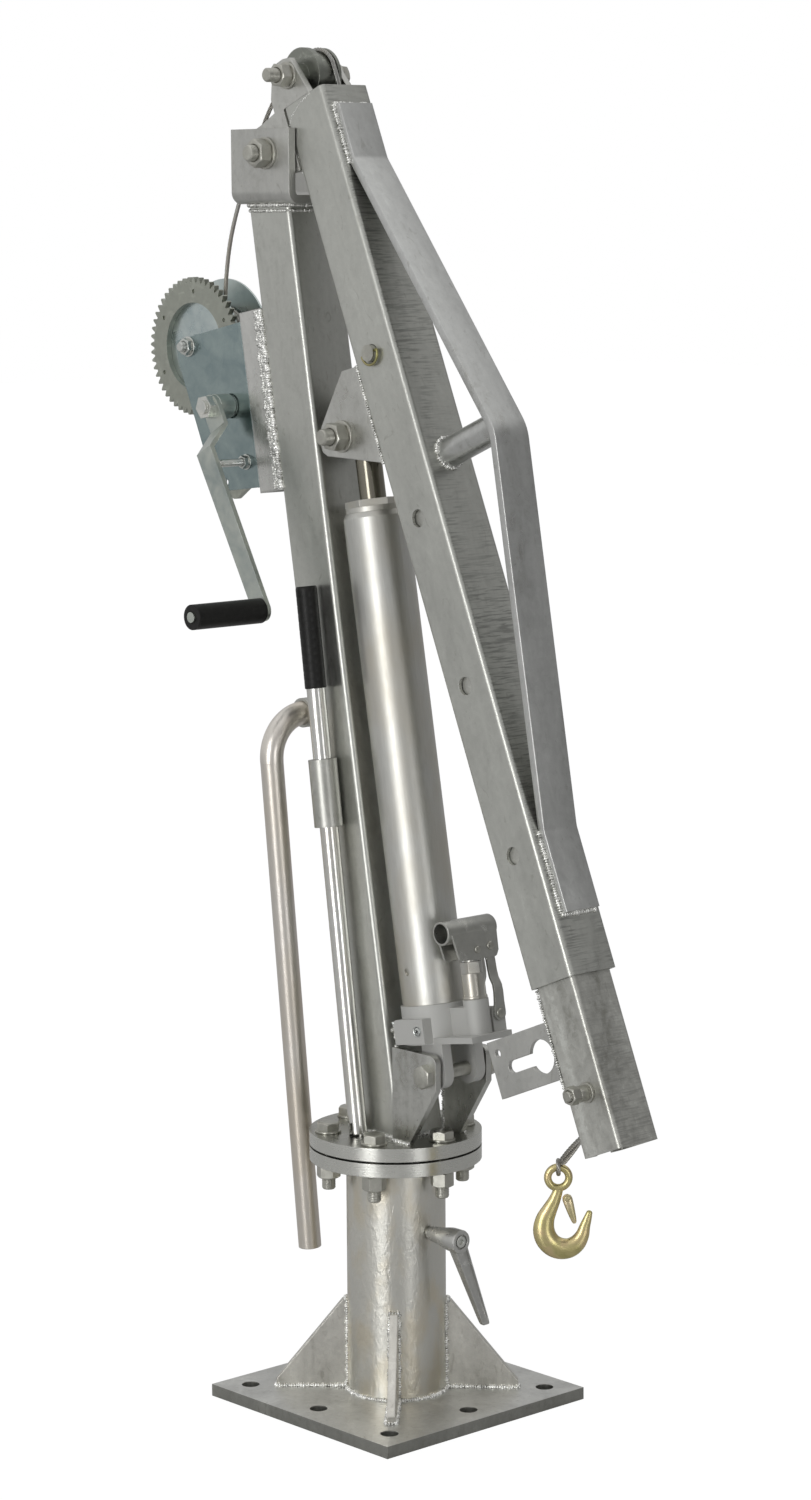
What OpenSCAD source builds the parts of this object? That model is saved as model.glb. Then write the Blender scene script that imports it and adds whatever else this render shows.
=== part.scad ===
// Truck jib crane: a folded hydraulic boom on a turning mast, with a hand winch.
// Millimetres, +Z up. The origin is the centre of the base plate's underside, and
// the boom's plane is XZ, with the boom on the +X side of the mast.

/* [Base] */
// Side of the square base plate
plate_w = 305; // [280:1:340]
// Thickness of the base plate
plate_t = 14; // [10:0.5:18]
// Diameter of the mounting holes
plate_hole_d = 20.6; // [14:0.1:24]
// Distance of the hole centres from the plate's edge
hole_inset = 32; // [26:1:40]
// Outside diameter of the pedestal pipe
pipe_d = 114; // [108:1:122]
// Wall of the pedestal pipe
pipe_wall = 6; // [4:0.5:8]
// Height of the gussets above the plate
gusset_h = 104; // [70:1:140]
// Reach of the gussets from the centre
gusset_reach = 140; // [110:1:145]
// Thickness of the gussets
gusset_t = 9.5; // [6:0.5:14]
// Height of the pedestal pipe's top rim
pedestal_top = 284.5; // [260:0.5:300]
// Thickness of the thrust ring under the lower flange
thrust_t = 2.5; // [2:0.1:4]

/* [Flanges] */
// Outside diameter of both flanges
flange_d = 198; // [190:1:210]
// Thickness of each flange
flange_t = 15.5; // [12:0.5:18]
// Height of the raised face between the flanges
raised_h = 2.5; // [1.5:0.5:4]
// Bolt circle of the flanges
flange_pcd = 157; // [154:1:164]
// Number of flange bolts
flange_bolts_n = 6; // [4:1:6]
// Thread diameter of the flange bolts
flange_bolt_d = 16; // [12:1:18]

/* [Mast] */
// Side of the square mast tube
mast_w = 70; // [64:1:76]
// Wall of the mast tube
mast_wall = 4; // [3:0.5:6]
// Backward lean of the mast
mast_tilt = 9.56; // [8:0.01:11]
// Height of the mast's upper end
mast_top = 1370; // [1340:1:1400]
// Thickness of the head bracket
bracket_t = 9.5; // [8:0.5:12]
// Length of the head bracket along X
bracket_w = 101; // [90:1:110]
// Height of the head bracket
bracket_h = 84; // [76:1:90]
// Thickness of the two foot clevis plates
clevis_t = 8; // [6:0.5:10]

/* [Boom] */
// Side of the square outer boom tube
boom_w = 70; // [66:1:74]
// Wall of the outer boom tube
boom_wall = 4; // [3:0.5:4.5]
// Tilt of the folded boom from vertical
boom_tilt = 22.57; // [21:0.01:24]
// Length of the outer boom tube
boom_len = 1028; // [1000:1:1060]
// Thickness of the boom's plates
ear_t = 8; // [6:0.5:9]
// Distance between the locking holes
hole_pitch = 193.5; // [180:0.5:200]
// Diameter of the locking pin
lock_pin_d = 18.8; // [16:0.2:20]
// Side of the square tip tube
tip_w = 60; // [56:1:61]
// Wall of the tip tube
tip_wall = 4; // [3:0.5:5]
// Width of the truss bar
truss_w = 50; // [40:1:60]
// Thickness of the truss bar
truss_t = 9.5; // [8:0.5:12]
// Diameter of the strut under the truss bar
strut_d = 33.4; // [26:0.1:38]

/* [Ram] */
// Outside diameter of the ram's cylinder
ram_d = 73; // [68:1:76]
// Diameter of the ram's rod
rod_d = 30; // [26:1:36]
// Diameter of the ram's bore
ram_bore = 58; // [52:1:62]
// Height of the cylinder's top above the foot pivot
ram_top = 634; // [600:1:650]

/* [Winch] */
// Module of the winch gears
gear_m = 3; // [3:0.1:3]
// Teeth on the drum gear
gear_n = 52; // [52:1:52]
// Teeth on the pinion
pinion_n = 14; // [14:1:14]
// Length of the crank from shaft to grip
crank_len = 256; // [220:1:270]
// Diameter of the crank's grip
grip_d = 28.6; // [24:0.1:34]
// Length of the crank's grip
grip_len = 98.5; // [88:0.5:110]
// Diameter of the wire rope
rope_d = 5; // [4:0.1:5]

/* [Handles] */
// Diameter of the pump handle's tube
handle_d = 21.3; // [18:0.1:22]
// Length of the pump handle
handle_len = 622; // [560:1:660]
// Diameter of the slewing handle's tube
slew_d = 26.7; // [24:0.1:30]
// Length of the slewing handle's hanging leg
slew_leg = 581; // [520:1:620]

/* [Hidden] */
$fn = 48;
zinc = [0.72, 0.74, 0.74];
bright = [0.80, 0.82, 0.84];
cast = [0.62, 0.62, 0.60];
black = [0.10, 0.10, 0.10];
gold = [0.80, 0.68, 0.38];
steel = [0.66, 0.66, 0.66];
fit = 0.05;
air = 0.3;

pipe_r = pipe_d / 2;
post_r = pipe_r - pipe_wall - air;
lower_z = pedestal_top + thrust_t;
upper_z = lower_z + flange_t + raised_h;
deck_z = upper_z + flange_t;

// The foot of the mast's axis line at height 0, and the boom's likewise
mast_x0 = 64;
boom_x0 = 513.3;

// Boom frame: x is the distance from the axis towards the front face, z runs along it
boom_head = 1611;
boom_foot = boom_head - boom_len;
luff_n = -70;
luff_s = boom_head - 37;
ram_head_n = -86;
ram_head_s = boom_head - 371;
sheave_n = -13;
sheave_s = boom_head + 32;
lock_n = -3;
lock_s = boom_head - 304;
rope_r = rope_d / 2;
sheave_groove = 26.7;
rope_n = sheave_n + sheave_groove + rope_r + 0.4;
tip_foot = boom_foot - 190;
tip_head = boom_foot + 782;
roller_s = tip_foot + 67;
roller_r = 9.8;
roller_n = rope_n - roller_r - rope_r - air;
rope_y = 10;

function boom_pt(n, s) = [
    boom_x0 + n * cos(boom_tilt) - s * sin(boom_tilt),
    n * sin(boom_tilt) + s * cos(boom_tilt)];
function mast_pt(n, s) = [
    mast_x0 + n * cos(mast_tilt) - s * sin(mast_tilt),
    n * sin(mast_tilt) + s * cos(mast_tilt)];

luff = boom_pt(luff_n, luff_s);
ram_head = boom_pt(ram_head_n, ram_head_s);

// The ram's foot pivot, and its frame with the foot pivot at the origin
ram_foot = [101, 405];
ram_off = -20;
ram_span = norm(ram_head - ram_foot);
ram_h = sqrt(ram_span * ram_span - ram_off * ram_off);
ram_tilt = atan2(ram_foot[0] - ram_head[0], ram_head[1] - ram_foot[1]) - atan2(-ram_off, ram_h);

// Winch places in the mast's frame
channel_n = -73;
channel_lo = 1068;
channel_hi = 1276;
drum_n = -171.5;
drum_s = 1252;
mesh_gap = 0.3;
centre_d = gear_m * (gear_n + pinion_n) / 2 + mesh_gap;
mesh_dir = -51.8;
crank_n = drum_n + centre_d * cos(mesh_dir);
crank_s = drum_s + centre_d * sin(mesh_dir);
crank_swing = 28.9;

module in_boom() { translate([boom_x0, 0, 0]) rotate([0, -boom_tilt, 0]) children(); }
module in_mast() { translate([mast_x0, 0, 0]) rotate([0, -mast_tilt, 0]) children(); }
module in_ram() {
    translate([ram_foot[0], 0, ram_foot[1]]) rotate([0, -ram_tilt, 0]) children();
}

// A flat outline drawn in x and z, as thick as t along Y and starting at y0
module plate_xz(y0, t) {
    translate([0, y0 + t, 0]) rotate([90, 0, 0]) linear_extrude(t) children();
}
// A cylinder along Y from y0 to y1, centred at x and z
module rod_y(x, z, r, y0, y1, sides = 48) {
    translate([x, y0, z]) rotate([-90, 0, 0]) cylinder(r = r, h = y1 - y0, $fn = sides);
}
// A hexagon along Y, across its flats
module hex_y(x, z, flats, y0, y1) {
    translate([x, y0, z]) rotate([-90, 0, 0]) cylinder(r = flats / sqrt(3), h = y1 - y0, $fn = 6);
}
module ring_y(x, z, r, bore, y0, y1) {
    difference() {
        rod_y(x, z, r, y0, y1);
        rod_y(x, z, bore, y0 - 1, y1 + 1);
    }
}
// A square outline with round corners
module round_square(w, r) {
    square([w - 2 * r, w], center = true);
    square([w, w - 2 * r], center = true);
    for (x = [-1, 1], y = [-1, 1]) translate([x, y] * (w / 2 - r)) circle(r);
}
module square_tube(w, wall, r, z0, z1) {
    translate([0, 0, z0]) linear_extrude(z1 - z0) difference() {
        round_square(w, r);
        round_square(w - 2 * wall, max(r - wall, 1));
    }
}
// A flat link outline: two discs joined by their common tangents
module link2d(p, pr, q, qr) {
    d = norm(q - p);
    a = atan2(q[1] - p[1], q[0] - p[0]);
    b = acos((pr - qr) / d);
    translate(p) circle(pr);
    translate(q) circle(qr);
    inside = 0.998;
    polygon([
        p + inside * pr * [cos(a - b), sin(a - b)], q + inside * qr * [cos(a - b), sin(a - b)],
        q + inside * qr * [cos(a + b), sin(a + b)], p + inside * pr * [cos(a + b), sin(a + b)]]);
}
// A bolt across the whole width: head on +Y, nut on -Y over an optional spacer, two washers
module cross_bolt(x, z, d, half, tail, head_h, nut_h, spacer = 0) {
    washer = 3;
    flats = 1.5 * d;
    seat = -half - washer - spacer;
    rod_y(x, z, d / 2, -half - tail - spacer, half + washer);
    hex_y(x, z, flats, half + washer, half + washer + head_h);
    ring_y(x, z, 0.95 * d, d / 2 + fit, half, half + washer);
    ring_y(x, z, 0.95 * d, d / 2 + fit, -half - washer, -half);
    if (spacer > 0) ring_y(x, z, 0.75 * d, d / 2 + fit, seat, seat + spacer);
    difference() {
        hex_y(x, z, flats, seat - nut_h, seat);
        rod_y(x, z, d / 2 + fit, seat - nut_h - 1, seat + 1);
    }
}

// A tube swept along points. The rings keep one axis across the given direction.
function unit(v) = v / norm(v);
function path_dir(p, i) = unit(p[min(i + 1, len(p) - 1)] - p[max(i - 1, 0)]);
function tube_points(p, r, sides, across) = [
    for (i = [0:len(p) - 1])
        let(t = path_dir(p, i), u = unit(cross(across, t)), v = cross(t, u))
        for (k = [0:sides - 1])
            p[i] + r[i] * (cos(360 * k / sides) * u + sin(360 * k / sides) * v)];
function tube_faces(rings, sides) = concat(
    [[for (k = [0:sides - 1]) k]],
    [for (i = [0:rings - 2]) for (k = [0:sides - 1])
        let(a = i * sides + k, b = i * sides + (k + 1) % sides) [a, b + sides, b]],
    [for (i = [0:rings - 2]) for (k = [0:sides - 1])
        let(a = i * sides + k, b = i * sides + (k + 1) % sides) [a, a + sides, b + sides]],
    [[for (k = [0:sides - 1]) rings * sides - 1 - k]]);
module tube(p, r, sides, across) {
    radii = is_list(r) ? r : [for (q = p) r];
    polyhedron(tube_points(p, radii, sides, across), tube_faces(len(p), sides), convexity = 8);
}

// Square plate with a hole at each corner and at the middle of each side
module base_plate() {
    h = plate_w / 2 - hole_inset;
    color(steel) difference() {
        translate([0, 0, plate_t / 2]) cube([plate_w, plate_w, plate_t], center = true);
        for (x = [-1, 0, 1], y = [-1, 0, 1]) if (x != 0 || y != 0)
            translate([x * h, y * h, -1]) cylinder(d = plate_hole_d, h = plate_t + 2);
    }
}

clamp_z = 208;
clamp_stud_r = 6;
// Upright pipe with the clamp stud's boss hole on its +X side
module pedestal_pipe() {
    color(zinc) difference() {
        translate([0, 0, plate_t]) cylinder(r = pipe_r, h = pedestal_top - plate_t, $fn = 96);
        translate([0, 0, plate_t - 1])
            cylinder(r = pipe_r - pipe_wall, h = pedestal_top - plate_t + 2, $fn = 96);
        translate([0, 0, clamp_z]) rotate([0, 90, 0]) cylinder(r = clamp_stud_r + fit, h = pipe_d);
    }
}

// Four triangular gussets on the plate's diagonals, with a blunt toe
module gussets() {
    toe = 9;
    color(zinc) for (a = [45:90:315]) rotate([0, 0, a]) difference() {
        plate_xz(-gusset_t / 2, gusset_t) polygon([
            [pipe_r - 1, plate_t], [gusset_reach, plate_t], [gusset_reach, plate_t + toe],
            [pipe_r + 6, plate_t + gusset_h], [pipe_r - 1, plate_t + gusset_h]]);
        cylinder(r = pipe_r, h = pedestal_top, $fn = 96);
    }
}

module thrust_ring() {
    color("peru") translate([0, 0, pedestal_top]) difference() {
        cylinder(r = pipe_r - 0.5, h = thrust_t, $fn = 96);
        translate([0, 0, -1]) cylinder(r = post_r + air, h = thrust_t + 2, $fn = 96);
    }
}

// Tube that turns inside the pedestal and carries the lower flange
module turning_post() {
    foot = plate_t + 40;
    color(steel) difference() {
        translate([0, 0, foot]) cylinder(r = post_r, h = lower_z - foot, $fn = 96);
        translate([0, 0, foot - 1]) cylinder(r = post_r - 6, h = lower_z - foot + 2, $fn = 96);
    }
}

module flange_holes(z) {
    for (k = [0:flange_bolts_n - 1]) rotate([0, 0, 360 * k / flange_bolts_n])
        translate([flange_pcd / 2, 0, z - 1])
            cylinder(r = flange_bolt_d / 2 + 0.5, h = flange_t + raised_h + 2);
}
module lower_flange() {
    color(zinc) difference() {
        translate([0, 0, lower_z]) union() {
            cylinder(d = flange_d, h = flange_t, $fn = 120);
            cylinder(d = flange_pcd - 34, h = flange_t + raised_h, $fn = 96);
        }
        flange_holes(lower_z);
    }
}
module upper_flange() {
    color(zinc) difference() {
        translate([0, 0, upper_z]) cylinder(d = flange_d, h = flange_t, $fn = 120);
        flange_holes(upper_z);
    }
}

// Through bolts with a washer on both sides, heads above and nuts below
module flange_bolts() {
    r = flange_bolt_d / 2;
    corner = 1.5 * flange_bolt_d / sqrt(3);
    head_h = 9.5;
    washer = 2.5;
    nut_h = 17;
    tail = 13.5;
    foot = lower_z - washer - nut_h - tail;
    module washer_at(z) {
        translate([0, 0, z]) difference() {
            cylinder(r = 0.94 * flange_bolt_d, h = washer);
            translate([0, 0, -1]) cylinder(r = r + fit, h = washer + 2);
        }
    }
    color(steel) for (k = [0:flange_bolts_n - 1]) rotate([0, 0, 360 * k / flange_bolts_n])
        translate([flange_pcd / 2, 0, 0]) {
            translate([0, 0, foot]) cylinder(r = r, h = deck_z + washer - foot);
            translate([0, 0, deck_z + washer]) rotate([0, 0, 11 * k])
                cylinder(r = corner, h = head_h, $fn = 6);
            washer_at(deck_z);
            washer_at(lower_z - washer);
            translate([0, 0, lower_z - washer - nut_h]) difference() {
                rotate([0, 0, 17 * k]) cylinder(r = corner, h = nut_h, $fn = 6);
                translate([0, 0, -1]) cylinder(r = r + fit, h = nut_h + 2);
            }
        }
}

// Square tube leaning back, cut level at the flange and under the bracket
module mast_tube() {
    color(zinc) intersection() {
        in_mast() square_tube(mast_w, mast_wall, 6, deck_z - 30, mast_top + 60);
        translate([-400, -100, deck_z]) cube([800, 200, mast_top - deck_z]);
    }
}

// Two plates standing on the flange outside the mast's sides, holding the ram's foot bolt
clevis_half = mast_w / 2 + clevis_t;
module foot_clevis() {
    front = ram_foot[0] + 14;
    rear = ram_foot[0] - 58;
    top = ram_foot[1] + 24;
    corner = 10;
    color(zinc) for (side = [-1, 1])
        plate_xz(side * (clevis_half - clevis_t / 2) - clevis_t / 2, clevis_t) difference() {
            union() {
                polygon([[rear, deck_z], [70, deck_z], [front, ram_foot[1] - 16], [front, top - corner],
                    [front - corner, top], [rear, top]]);
                translate([front - corner, top - corner]) circle(corner);
            }
            translate(ram_foot) circle(foot_r + fit);
        }
}

// Rear gusset between the mast's back and the flange
module mast_gusset() {
    t = 10;
    function back_x(z) = mast_x0 - z * tan(mast_tilt) - mast_w / 2 / cos(mast_tilt);
    color(zinc) plate_xz(-t / 2, t) polygon([
        [back_x(deck_z), deck_z], [back_x(deck_z + 85), deck_z + 85],
        [back_x(deck_z + 85) - 6, deck_z + 85], [-62, deck_z + 10], [-62, deck_z]]);
}

// U-shaped bracket on the mast's top that holds the boom's pivot bolt
bracket_x = luff[0] - 11;
bracket_in = mast_w / 2 + 1.5;
module head_bracket() {
    out = bracket_in + bracket_t;
    bend = 14;
    color(zinc) difference() {
        translate([bracket_x - bracket_w / 2, 0, mast_top]) rotate([90, 0, 90]) linear_extrude(bracket_w)
            difference() {
                union() {
                    translate([-out, bend]) square([2 * out, bracket_h - bend]);
                    translate([-out + bend, 0]) square([2 * (out - bend), bend]);
                    for (side = [-1, 1]) translate([side * (out - bend), bend]) circle(bend);
                }
                translate([-bracket_in, bend]) square([2 * bracket_in, bracket_h]);
                translate([-bracket_in + bend - bracket_t, bracket_t])
                    square([2 * (bracket_in - bend + bracket_t), bracket_h]);
                for (side = [-1, 1]) translate([side * (out - bend), bend]) circle(bend - bracket_t);
            }
        rod_y(luff[0], luff[1], luff_r + fit, -out - 1, out + 1);
    }
}

luff_r = 9.5;
module luff_bolt() {
    color(steel) cross_bolt(luff[0], luff[1], 2 * luff_r, bracket_in + bracket_t, 28, 12, 16);
}

foot_r = 8;
module ram_foot_bolt() {
    half = clevis_half;
    flats = 3 * foot_r;
    washer = 2.5;
    nut_h = 13.5;
    color(steel) {
        rod_y(ram_foot[0], ram_foot[1], foot_r, -half, half + 24);
        hex_y(ram_foot[0], ram_foot[1], flats, -half - 10, -half);
        ring_y(ram_foot[0], ram_foot[1], 1.8 * foot_r, foot_r + fit, half, half + washer);
        difference() {
            hex_y(ram_foot[0], ram_foot[1], flats, half + washer, half + washer + nut_h);
            rod_y(ram_foot[0], ram_foot[1], foot_r + fit, half, half + washer + nut_h + 1);
        }
    }
}

// Channel welded to the mast's back, with the winch bolted to its web
winch_screw_s = [1088, 1170, 1252];
channel_wall = 6;
module winch_channel() {
    wall = channel_wall;
    w = mast_w;
    depth = -channel_n - mast_w / 2;
    color(zinc) in_mast() difference() {
        translate([channel_n, -w / 2, channel_lo]) cube([depth, w, channel_hi - channel_lo]);
        translate([channel_n + wall, -w / 2 + wall, channel_lo - 1])
            cube([depth, w - 2 * wall, channel_hi - channel_lo + 2]);
        for (s = winch_screw_s) translate([channel_n - 1, 0, s]) rotate([0, 90, 0])
            cylinder(r = screw_r + fit, h = wall + 2);
    }
}

// The pump handle hangs in its sleeve on the mast's near face
handle_tilt = 7.5;
sleeve_wall = 2.8;
sleeve_bore = 13.7;
sleeve_r = sleeve_bore + sleeve_wall;
handle_y = -mast_w / 2 - sleeve_r - fit;
handle_foot = [-6, deck_z + air + handle_d / 2 * sin(handle_tilt)];
sleeve_mid = 390;
module in_handle() {
    translate([handle_foot[0], handle_y, handle_foot[1]]) rotate([0, -handle_tilt, 0]) children();
}
module handle_sleeve() {
    color(zinc) in_handle() translate([0, 0, sleeve_mid - 38.5]) difference() {
        cylinder(r = sleeve_r, h = 77);
        translate([0, 0, -1]) cylinder(r = sleeve_bore, h = 79);
    }
}
module pump_handle() {
    color(bright) in_handle() difference() {
        cylinder(d = handle_d, h = handle_len);
        translate([0, 0, -1]) cylinder(d = handle_d - 5, h = handle_len + 2);
        translate([-3, -20, -1]) cube([6, 20, 14]);
    }
}
module handle_grip() {
    len = 113;
    color(black) in_handle() translate([0, 0, handle_len - len]) difference() {
        cylinder(d = handle_d + 3.2, h = len + 3);
        translate([0, 0, -1]) cylinder(r = handle_d / 2 + fit, h = len + 1);
    }
}

// Cross tube on the mast's back, with the bent slewing handle in it
slew_n = -mast_w / 2 - 17.1;
slew_s = 811.9;
socket_half = 31;
module slew_socket() {
    p = mast_pt(slew_n, slew_s);
    color(zinc) ring_y(p[0], p[1], 17, slew_d / 2 + air, -socket_half + 1, socket_half);
}
module slew_handle() {
    p = mast_pt(slew_n, slew_s);
    wall = 2.6;
    color(steel) translate([p[0], 0, p[1]]) difference() {
        slew_path(slew_d / 2, 0);
        slew_path(slew_d / 2 - wall, 1);
    }
}
// Level part in the socket, a slightly swollen bend of a little over a right angle, then the leg
module slew_path(r, extra) {
    bend_r = 48;
    bend_a = 94.9;
    swell = 0.15;
    lap = 1;
    y0 = -socket_half + 3;
    rod_y(0, 0, r, y0 - lap, socket_half - 4 + extra);
    translate([0, y0, -bend_r]) rotate([90, 0, 90]) rotate([0, 0, 90])
        rotate_extrude(angle = bend_a) translate([bend_r, 0]) circle(r + swell);
    translate([0, y0 - bend_r * sin(bend_a), -bend_r + bend_r * cos(bend_a)])
        rotate([90 + bend_a, 0, 0]) translate([0, 0, -lap]) cylinder(r = r, h = slew_leg + lap + extra);
}

// Folded winch frame: a flange on the channel and two cheek plates
frame_t = 4.5;
frame_half = mast_w / 2;
screw_r = 5;
axle_r = 6;
stud_p = [-91.4, 1106.6];
frame_lo = channel_lo + 7;
frame_hi = channel_hi - 10;
module winch_outline() {
    polygon([[channel_n, frame_lo], [-134, frame_lo + 3], [-167, frame_lo + 59], [-193, drum_s - 16],
        [-194, drum_s + 10], [channel_n, frame_hi]]);
}
module winch_frame() {
    color([0.62, 0.68, 0.71]) in_mast() difference() {
        union() {
            for (side = [-1, 1])
                plate_xz(side * (frame_half - frame_t / 2) - frame_t / 2, frame_t) winch_outline();
            translate([channel_n - frame_t, -frame_half + 1, frame_lo])
                cube([frame_t, 2 * frame_half - 2, frame_hi - frame_lo]);
        }
        rod_y(drum_n, drum_s, axle_r + fit, -50, 50);
        rod_y(crank_n, crank_s, shaft_r + fit, -50, 50);
        rod_y(stud_p[0], stud_p[1], stud_r + fit, -50, 50);
        rod_y(-132.3, frame_lo + 13, 4, -50, 50);
        for (s = winch_screw_s) translate([channel_n - frame_t - 1, 0, s]) rotate([0, 90, 0])
            cylinder(r = screw_r + fit, h = frame_t + 2);
    }
}
module winch_screws() {
    corner = 1.84 * screw_r;
    nut_h = 8;
    color(steel) in_mast() for (s = winch_screw_s) translate([channel_n, 0, s]) rotate([0, -90, 0]) {
        translate([0, 0, -18]) cylinder(r = screw_r, h = 18 + frame_t);
        translate([0, 0, frame_t]) cylinder(r = corner, h = 6, $fn = 6);
        translate([0, 0, -channel_wall - nut_h]) difference() {
            cylinder(r = corner, h = nut_h, $fn = 6);
            translate([0, 0, -1]) cylinder(r = screw_r + fit, h = nut_h + 2);
        }
    }
}
module axle_set(x, z, r, near, far) {
    rod_y(x, z, r, near, far);
    hex_y(x, z, 3 * r, far, far + 7);
    difference() {
        hex_y(x, z, 3 * r, -frame_half - 8, -frame_half - 1.5);
        rod_y(x, z, r + fit, near, far);
    }
    ring_y(x, z, 2 * r, r + fit, -frame_half - 1.5, -frame_half);
}
module drum_axle() {
    color(steel) in_mast() axle_set(drum_n, drum_s, axle_r, -frame_half - 14, frame_half);
}
stud_r = 4.5;
module pawl_stud() {
    color(steel) in_mast() axle_set(stud_p[0], stud_p[1], stud_r, -frame_half - 40, frame_half);
}

// Drum: barrel between the gear-side flange and the far flange
drum_near = -17.5;
drum_far = 22;
wind_r = 45;
wind_pitch = rope_d + 0.55;
wind_turns = 6;
wind_y0 = drum_near + rope_r + 0.6;
module rope_drum() {
    flange = 2.5;
    core_r = wind_r * cos(wind_step / 2) - rope_r - 0.1;
    color([0.60, 0.66, 0.69]) in_mast() difference() {
        union() {
            rod_y(drum_n, drum_s, 74, drum_near - flange, drum_near, 96);
            rod_y(drum_n, drum_s, 78, drum_far, drum_far + flange, 96);
            rod_y(drum_n, drum_s, core_r, drum_near - 0.5, drum_far + 0.5, 72);
            rod_y(drum_n, drum_s, 14, -frame_half + frame_t + 1, frame_half - frame_t - 1);
        }
        rod_y(drum_n, drum_s, axle_r + fit, -50, 50);
    }
}

// Involute outline of a spur gear, with a little backlash
press_a = 25;
function involute(rb, r) = let(t = acos(rb / r)) tan(t) * 180 / PI - t;
module spur2d(teeth, phase) {
    rp = gear_m * teeth / 2;
    rb = rp * cos(press_a);
    ra = rp + 0.88 * gear_m;
    rr = rp - 1.2 * gear_m;
    half = 90 / teeth - 0.16 / rp * 180 / PI + involute(rb, rp);
    start = max(rb, rr + 0.01);
    foot = half - involute(rb, start);
    root = foot + 0.3 * (180 / teeth - foot);
    flank = [for (i = [0:3]) start + (ra - start) * i / 3];
    polygon([for (k = [0:teeth - 1]) let(a = phase + 360 * k / teeth) each concat(
        [rr * [cos(a - root), sin(a - root)]],
        [for (r = flank) let(b = a - half + involute(rb, r)) r * [cos(b), sin(b)]],
        [for (i = [3:-1:0]) let(r = flank[i], b = a + half - involute(rb, r)) r * [cos(b), sin(b)]],
        [rr * [cos(a + root), sin(a + root)]])]);
}
gear_y = -27.2;
gear_t = 7;
module drum_gear() {
    opening = 51;
    rivet_circle = 64;
    color([0.58, 0.60, 0.58]) in_mast() difference() {
        translate([drum_n, 0, drum_s]) plate_xz(gear_y, gear_t) difference() {
            spur2d(gear_n, mesh_dir);
            circle(opening);
        }
        for (k = [0:5]) rod_y(drum_n + rivet_circle * cos(60 * k + 20),
            drum_s + rivet_circle * sin(60 * k + 20), 2.4, gear_y - 1, gear_y + 2.5, 24);
    }
}

// Outer layer of rope on the drum, as one unbroken helix
wind_step = 15;
wind_path = [for (i = [0:wind_turns * 360 / wind_step])
    [drum_n + wind_r * cos(wind_step * i), wind_y0 + wind_pitch * wind_step * i / 360,
        drum_s - wind_r * sin(wind_step * i)]];
wind_last = wind_path[len(wind_path) - 1];
wind_points = concat([wind_path[0] + [0, 0, rope_d]], wind_path);
wind_rings = 360 / wind_step;
echo(least_gap_of_winding = min([for (i = [0:wind_rings - 1], j = [i + wind_rings - 3:i + wind_rings + 3])
    if (j < len(wind_path)) norm(wind_path[i] - wind_path[j])]) - rope_d);
module rope_winding() {
    color(steel) in_mast() tube(wind_points, rope_r, 6, [0, 1, 0]);
}

// Crank shaft with its pinion and ratchet wheel
shaft_r = 8;
crank_out = -frame_half - 42;
ratchet_r = 22;
module crank_shaft() {
    ratchet_teeth = 12;
    pinion_phase = mesh_dir + 180 + 180 / pinion_n;
    color(steel) in_mast() {
        rod_y(crank_n, crank_s, shaft_r, crank_out, frame_half + 8);
        translate([crank_n, 0, crank_s]) {
            plate_xz(gear_y - 1, gear_t + 2) spur2d(pinion_n, pinion_phase);
            plate_xz(-4, 8) polygon([for (k = [0:ratchet_teeth - 1], j = [0, 1])
                let(a = 360 * k / ratchet_teeth + j * 6, r = j == 0 ? ratchet_r - 6 : ratchet_r)
                    r * [cos(a), sin(a)]]);
        }
        ring_y(crank_n, crank_s, 13, shaft_r + fit, -frame_half - 2.2, -frame_half - air);
        hex_y(crank_n, crank_s, 24, crank_out + 3, crank_out + 13);
    }
}

// Flat crank arm with a joggle outwards, and the grip's pin
arm_t = 6;
arm_hub_y = crank_out + 13;
arm_out_y = arm_hub_y - 32;
module in_crank() {
    p = mast_pt(crank_n, crank_s);
    translate([p[0], 0, p[1]]) rotate([0, -crank_swing, 0]) children();
}
module crank_arm() {
    half = 12.5;
    joggle = [27, 54];
    color([0.64, 0.68, 0.69]) in_crank() {
        difference() {
            intersection() {
                translate([0, 60, 0]) rotate([90, 0, 0]) linear_extrude(220)
                    link2d([0, 0], 14, [0, -crank_len], half);
                translate([-20, 0, 0]) rotate([90, 0, 90]) linear_extrude(40) polygon([
                    [arm_hub_y, 20], [arm_hub_y + arm_t, 20], [arm_hub_y + arm_t, -joggle[0] - 2],
                    [arm_out_y + arm_t, -joggle[1] - 2], [arm_out_y + arm_t, -crank_len - 20],
                    [arm_out_y, -crank_len - 20], [arm_out_y, -joggle[1]], [arm_hub_y, -joggle[0]]]);
            }
            rod_y(0, 0, shaft_r + fit, -150, 0);
            rod_y(0, -crank_len, grip_pin_r + fit, -150, 0);
        }
        rod_y(0, -crank_len, grip_pin_r, arm_out_y - grip_len - 2.5, arm_out_y + arm_t + 3);
        rod_y(0, -crank_len, grip_pin_r + 2.4, arm_out_y + arm_t, arm_out_y + arm_t + 3);
        ring_y(0, 0, 14.5, shaft_r + fit, arm_hub_y + arm_t, -frame_half - 3);
    }
}
grip_pin_r = 6;
module crank_grip() {
    color(black) in_crank()
        ring_y(0, -crank_len, grip_d / 2, grip_pin_r + air, arm_out_y - air - grip_len, arm_out_y - air);
}

// Pawl on its stud, held clear of the ratchet wheel, with a finger tail below the plates
module winch_pawl() {
    thick = 7;
    reach = norm([crank_n, crank_s] - stud_p) - ratchet_r - 6;
    lift = 9;
    dir = atan2(crank_s - stud_p[1], crank_n - stud_p[0]) - lift;
    tail = [-157, frame_lo + 4];
    color(steel) in_mast() plate_xz(-thick / 2, thick) difference() {
        union() {
            link2d(stud_p, 9, stud_p + reach * [cos(dir), sin(dir)], 3);
            link2d(stud_p, 7, tail, 9.5);
        }
        translate(stud_p) circle(stud_r + fit);
    }
}

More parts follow.
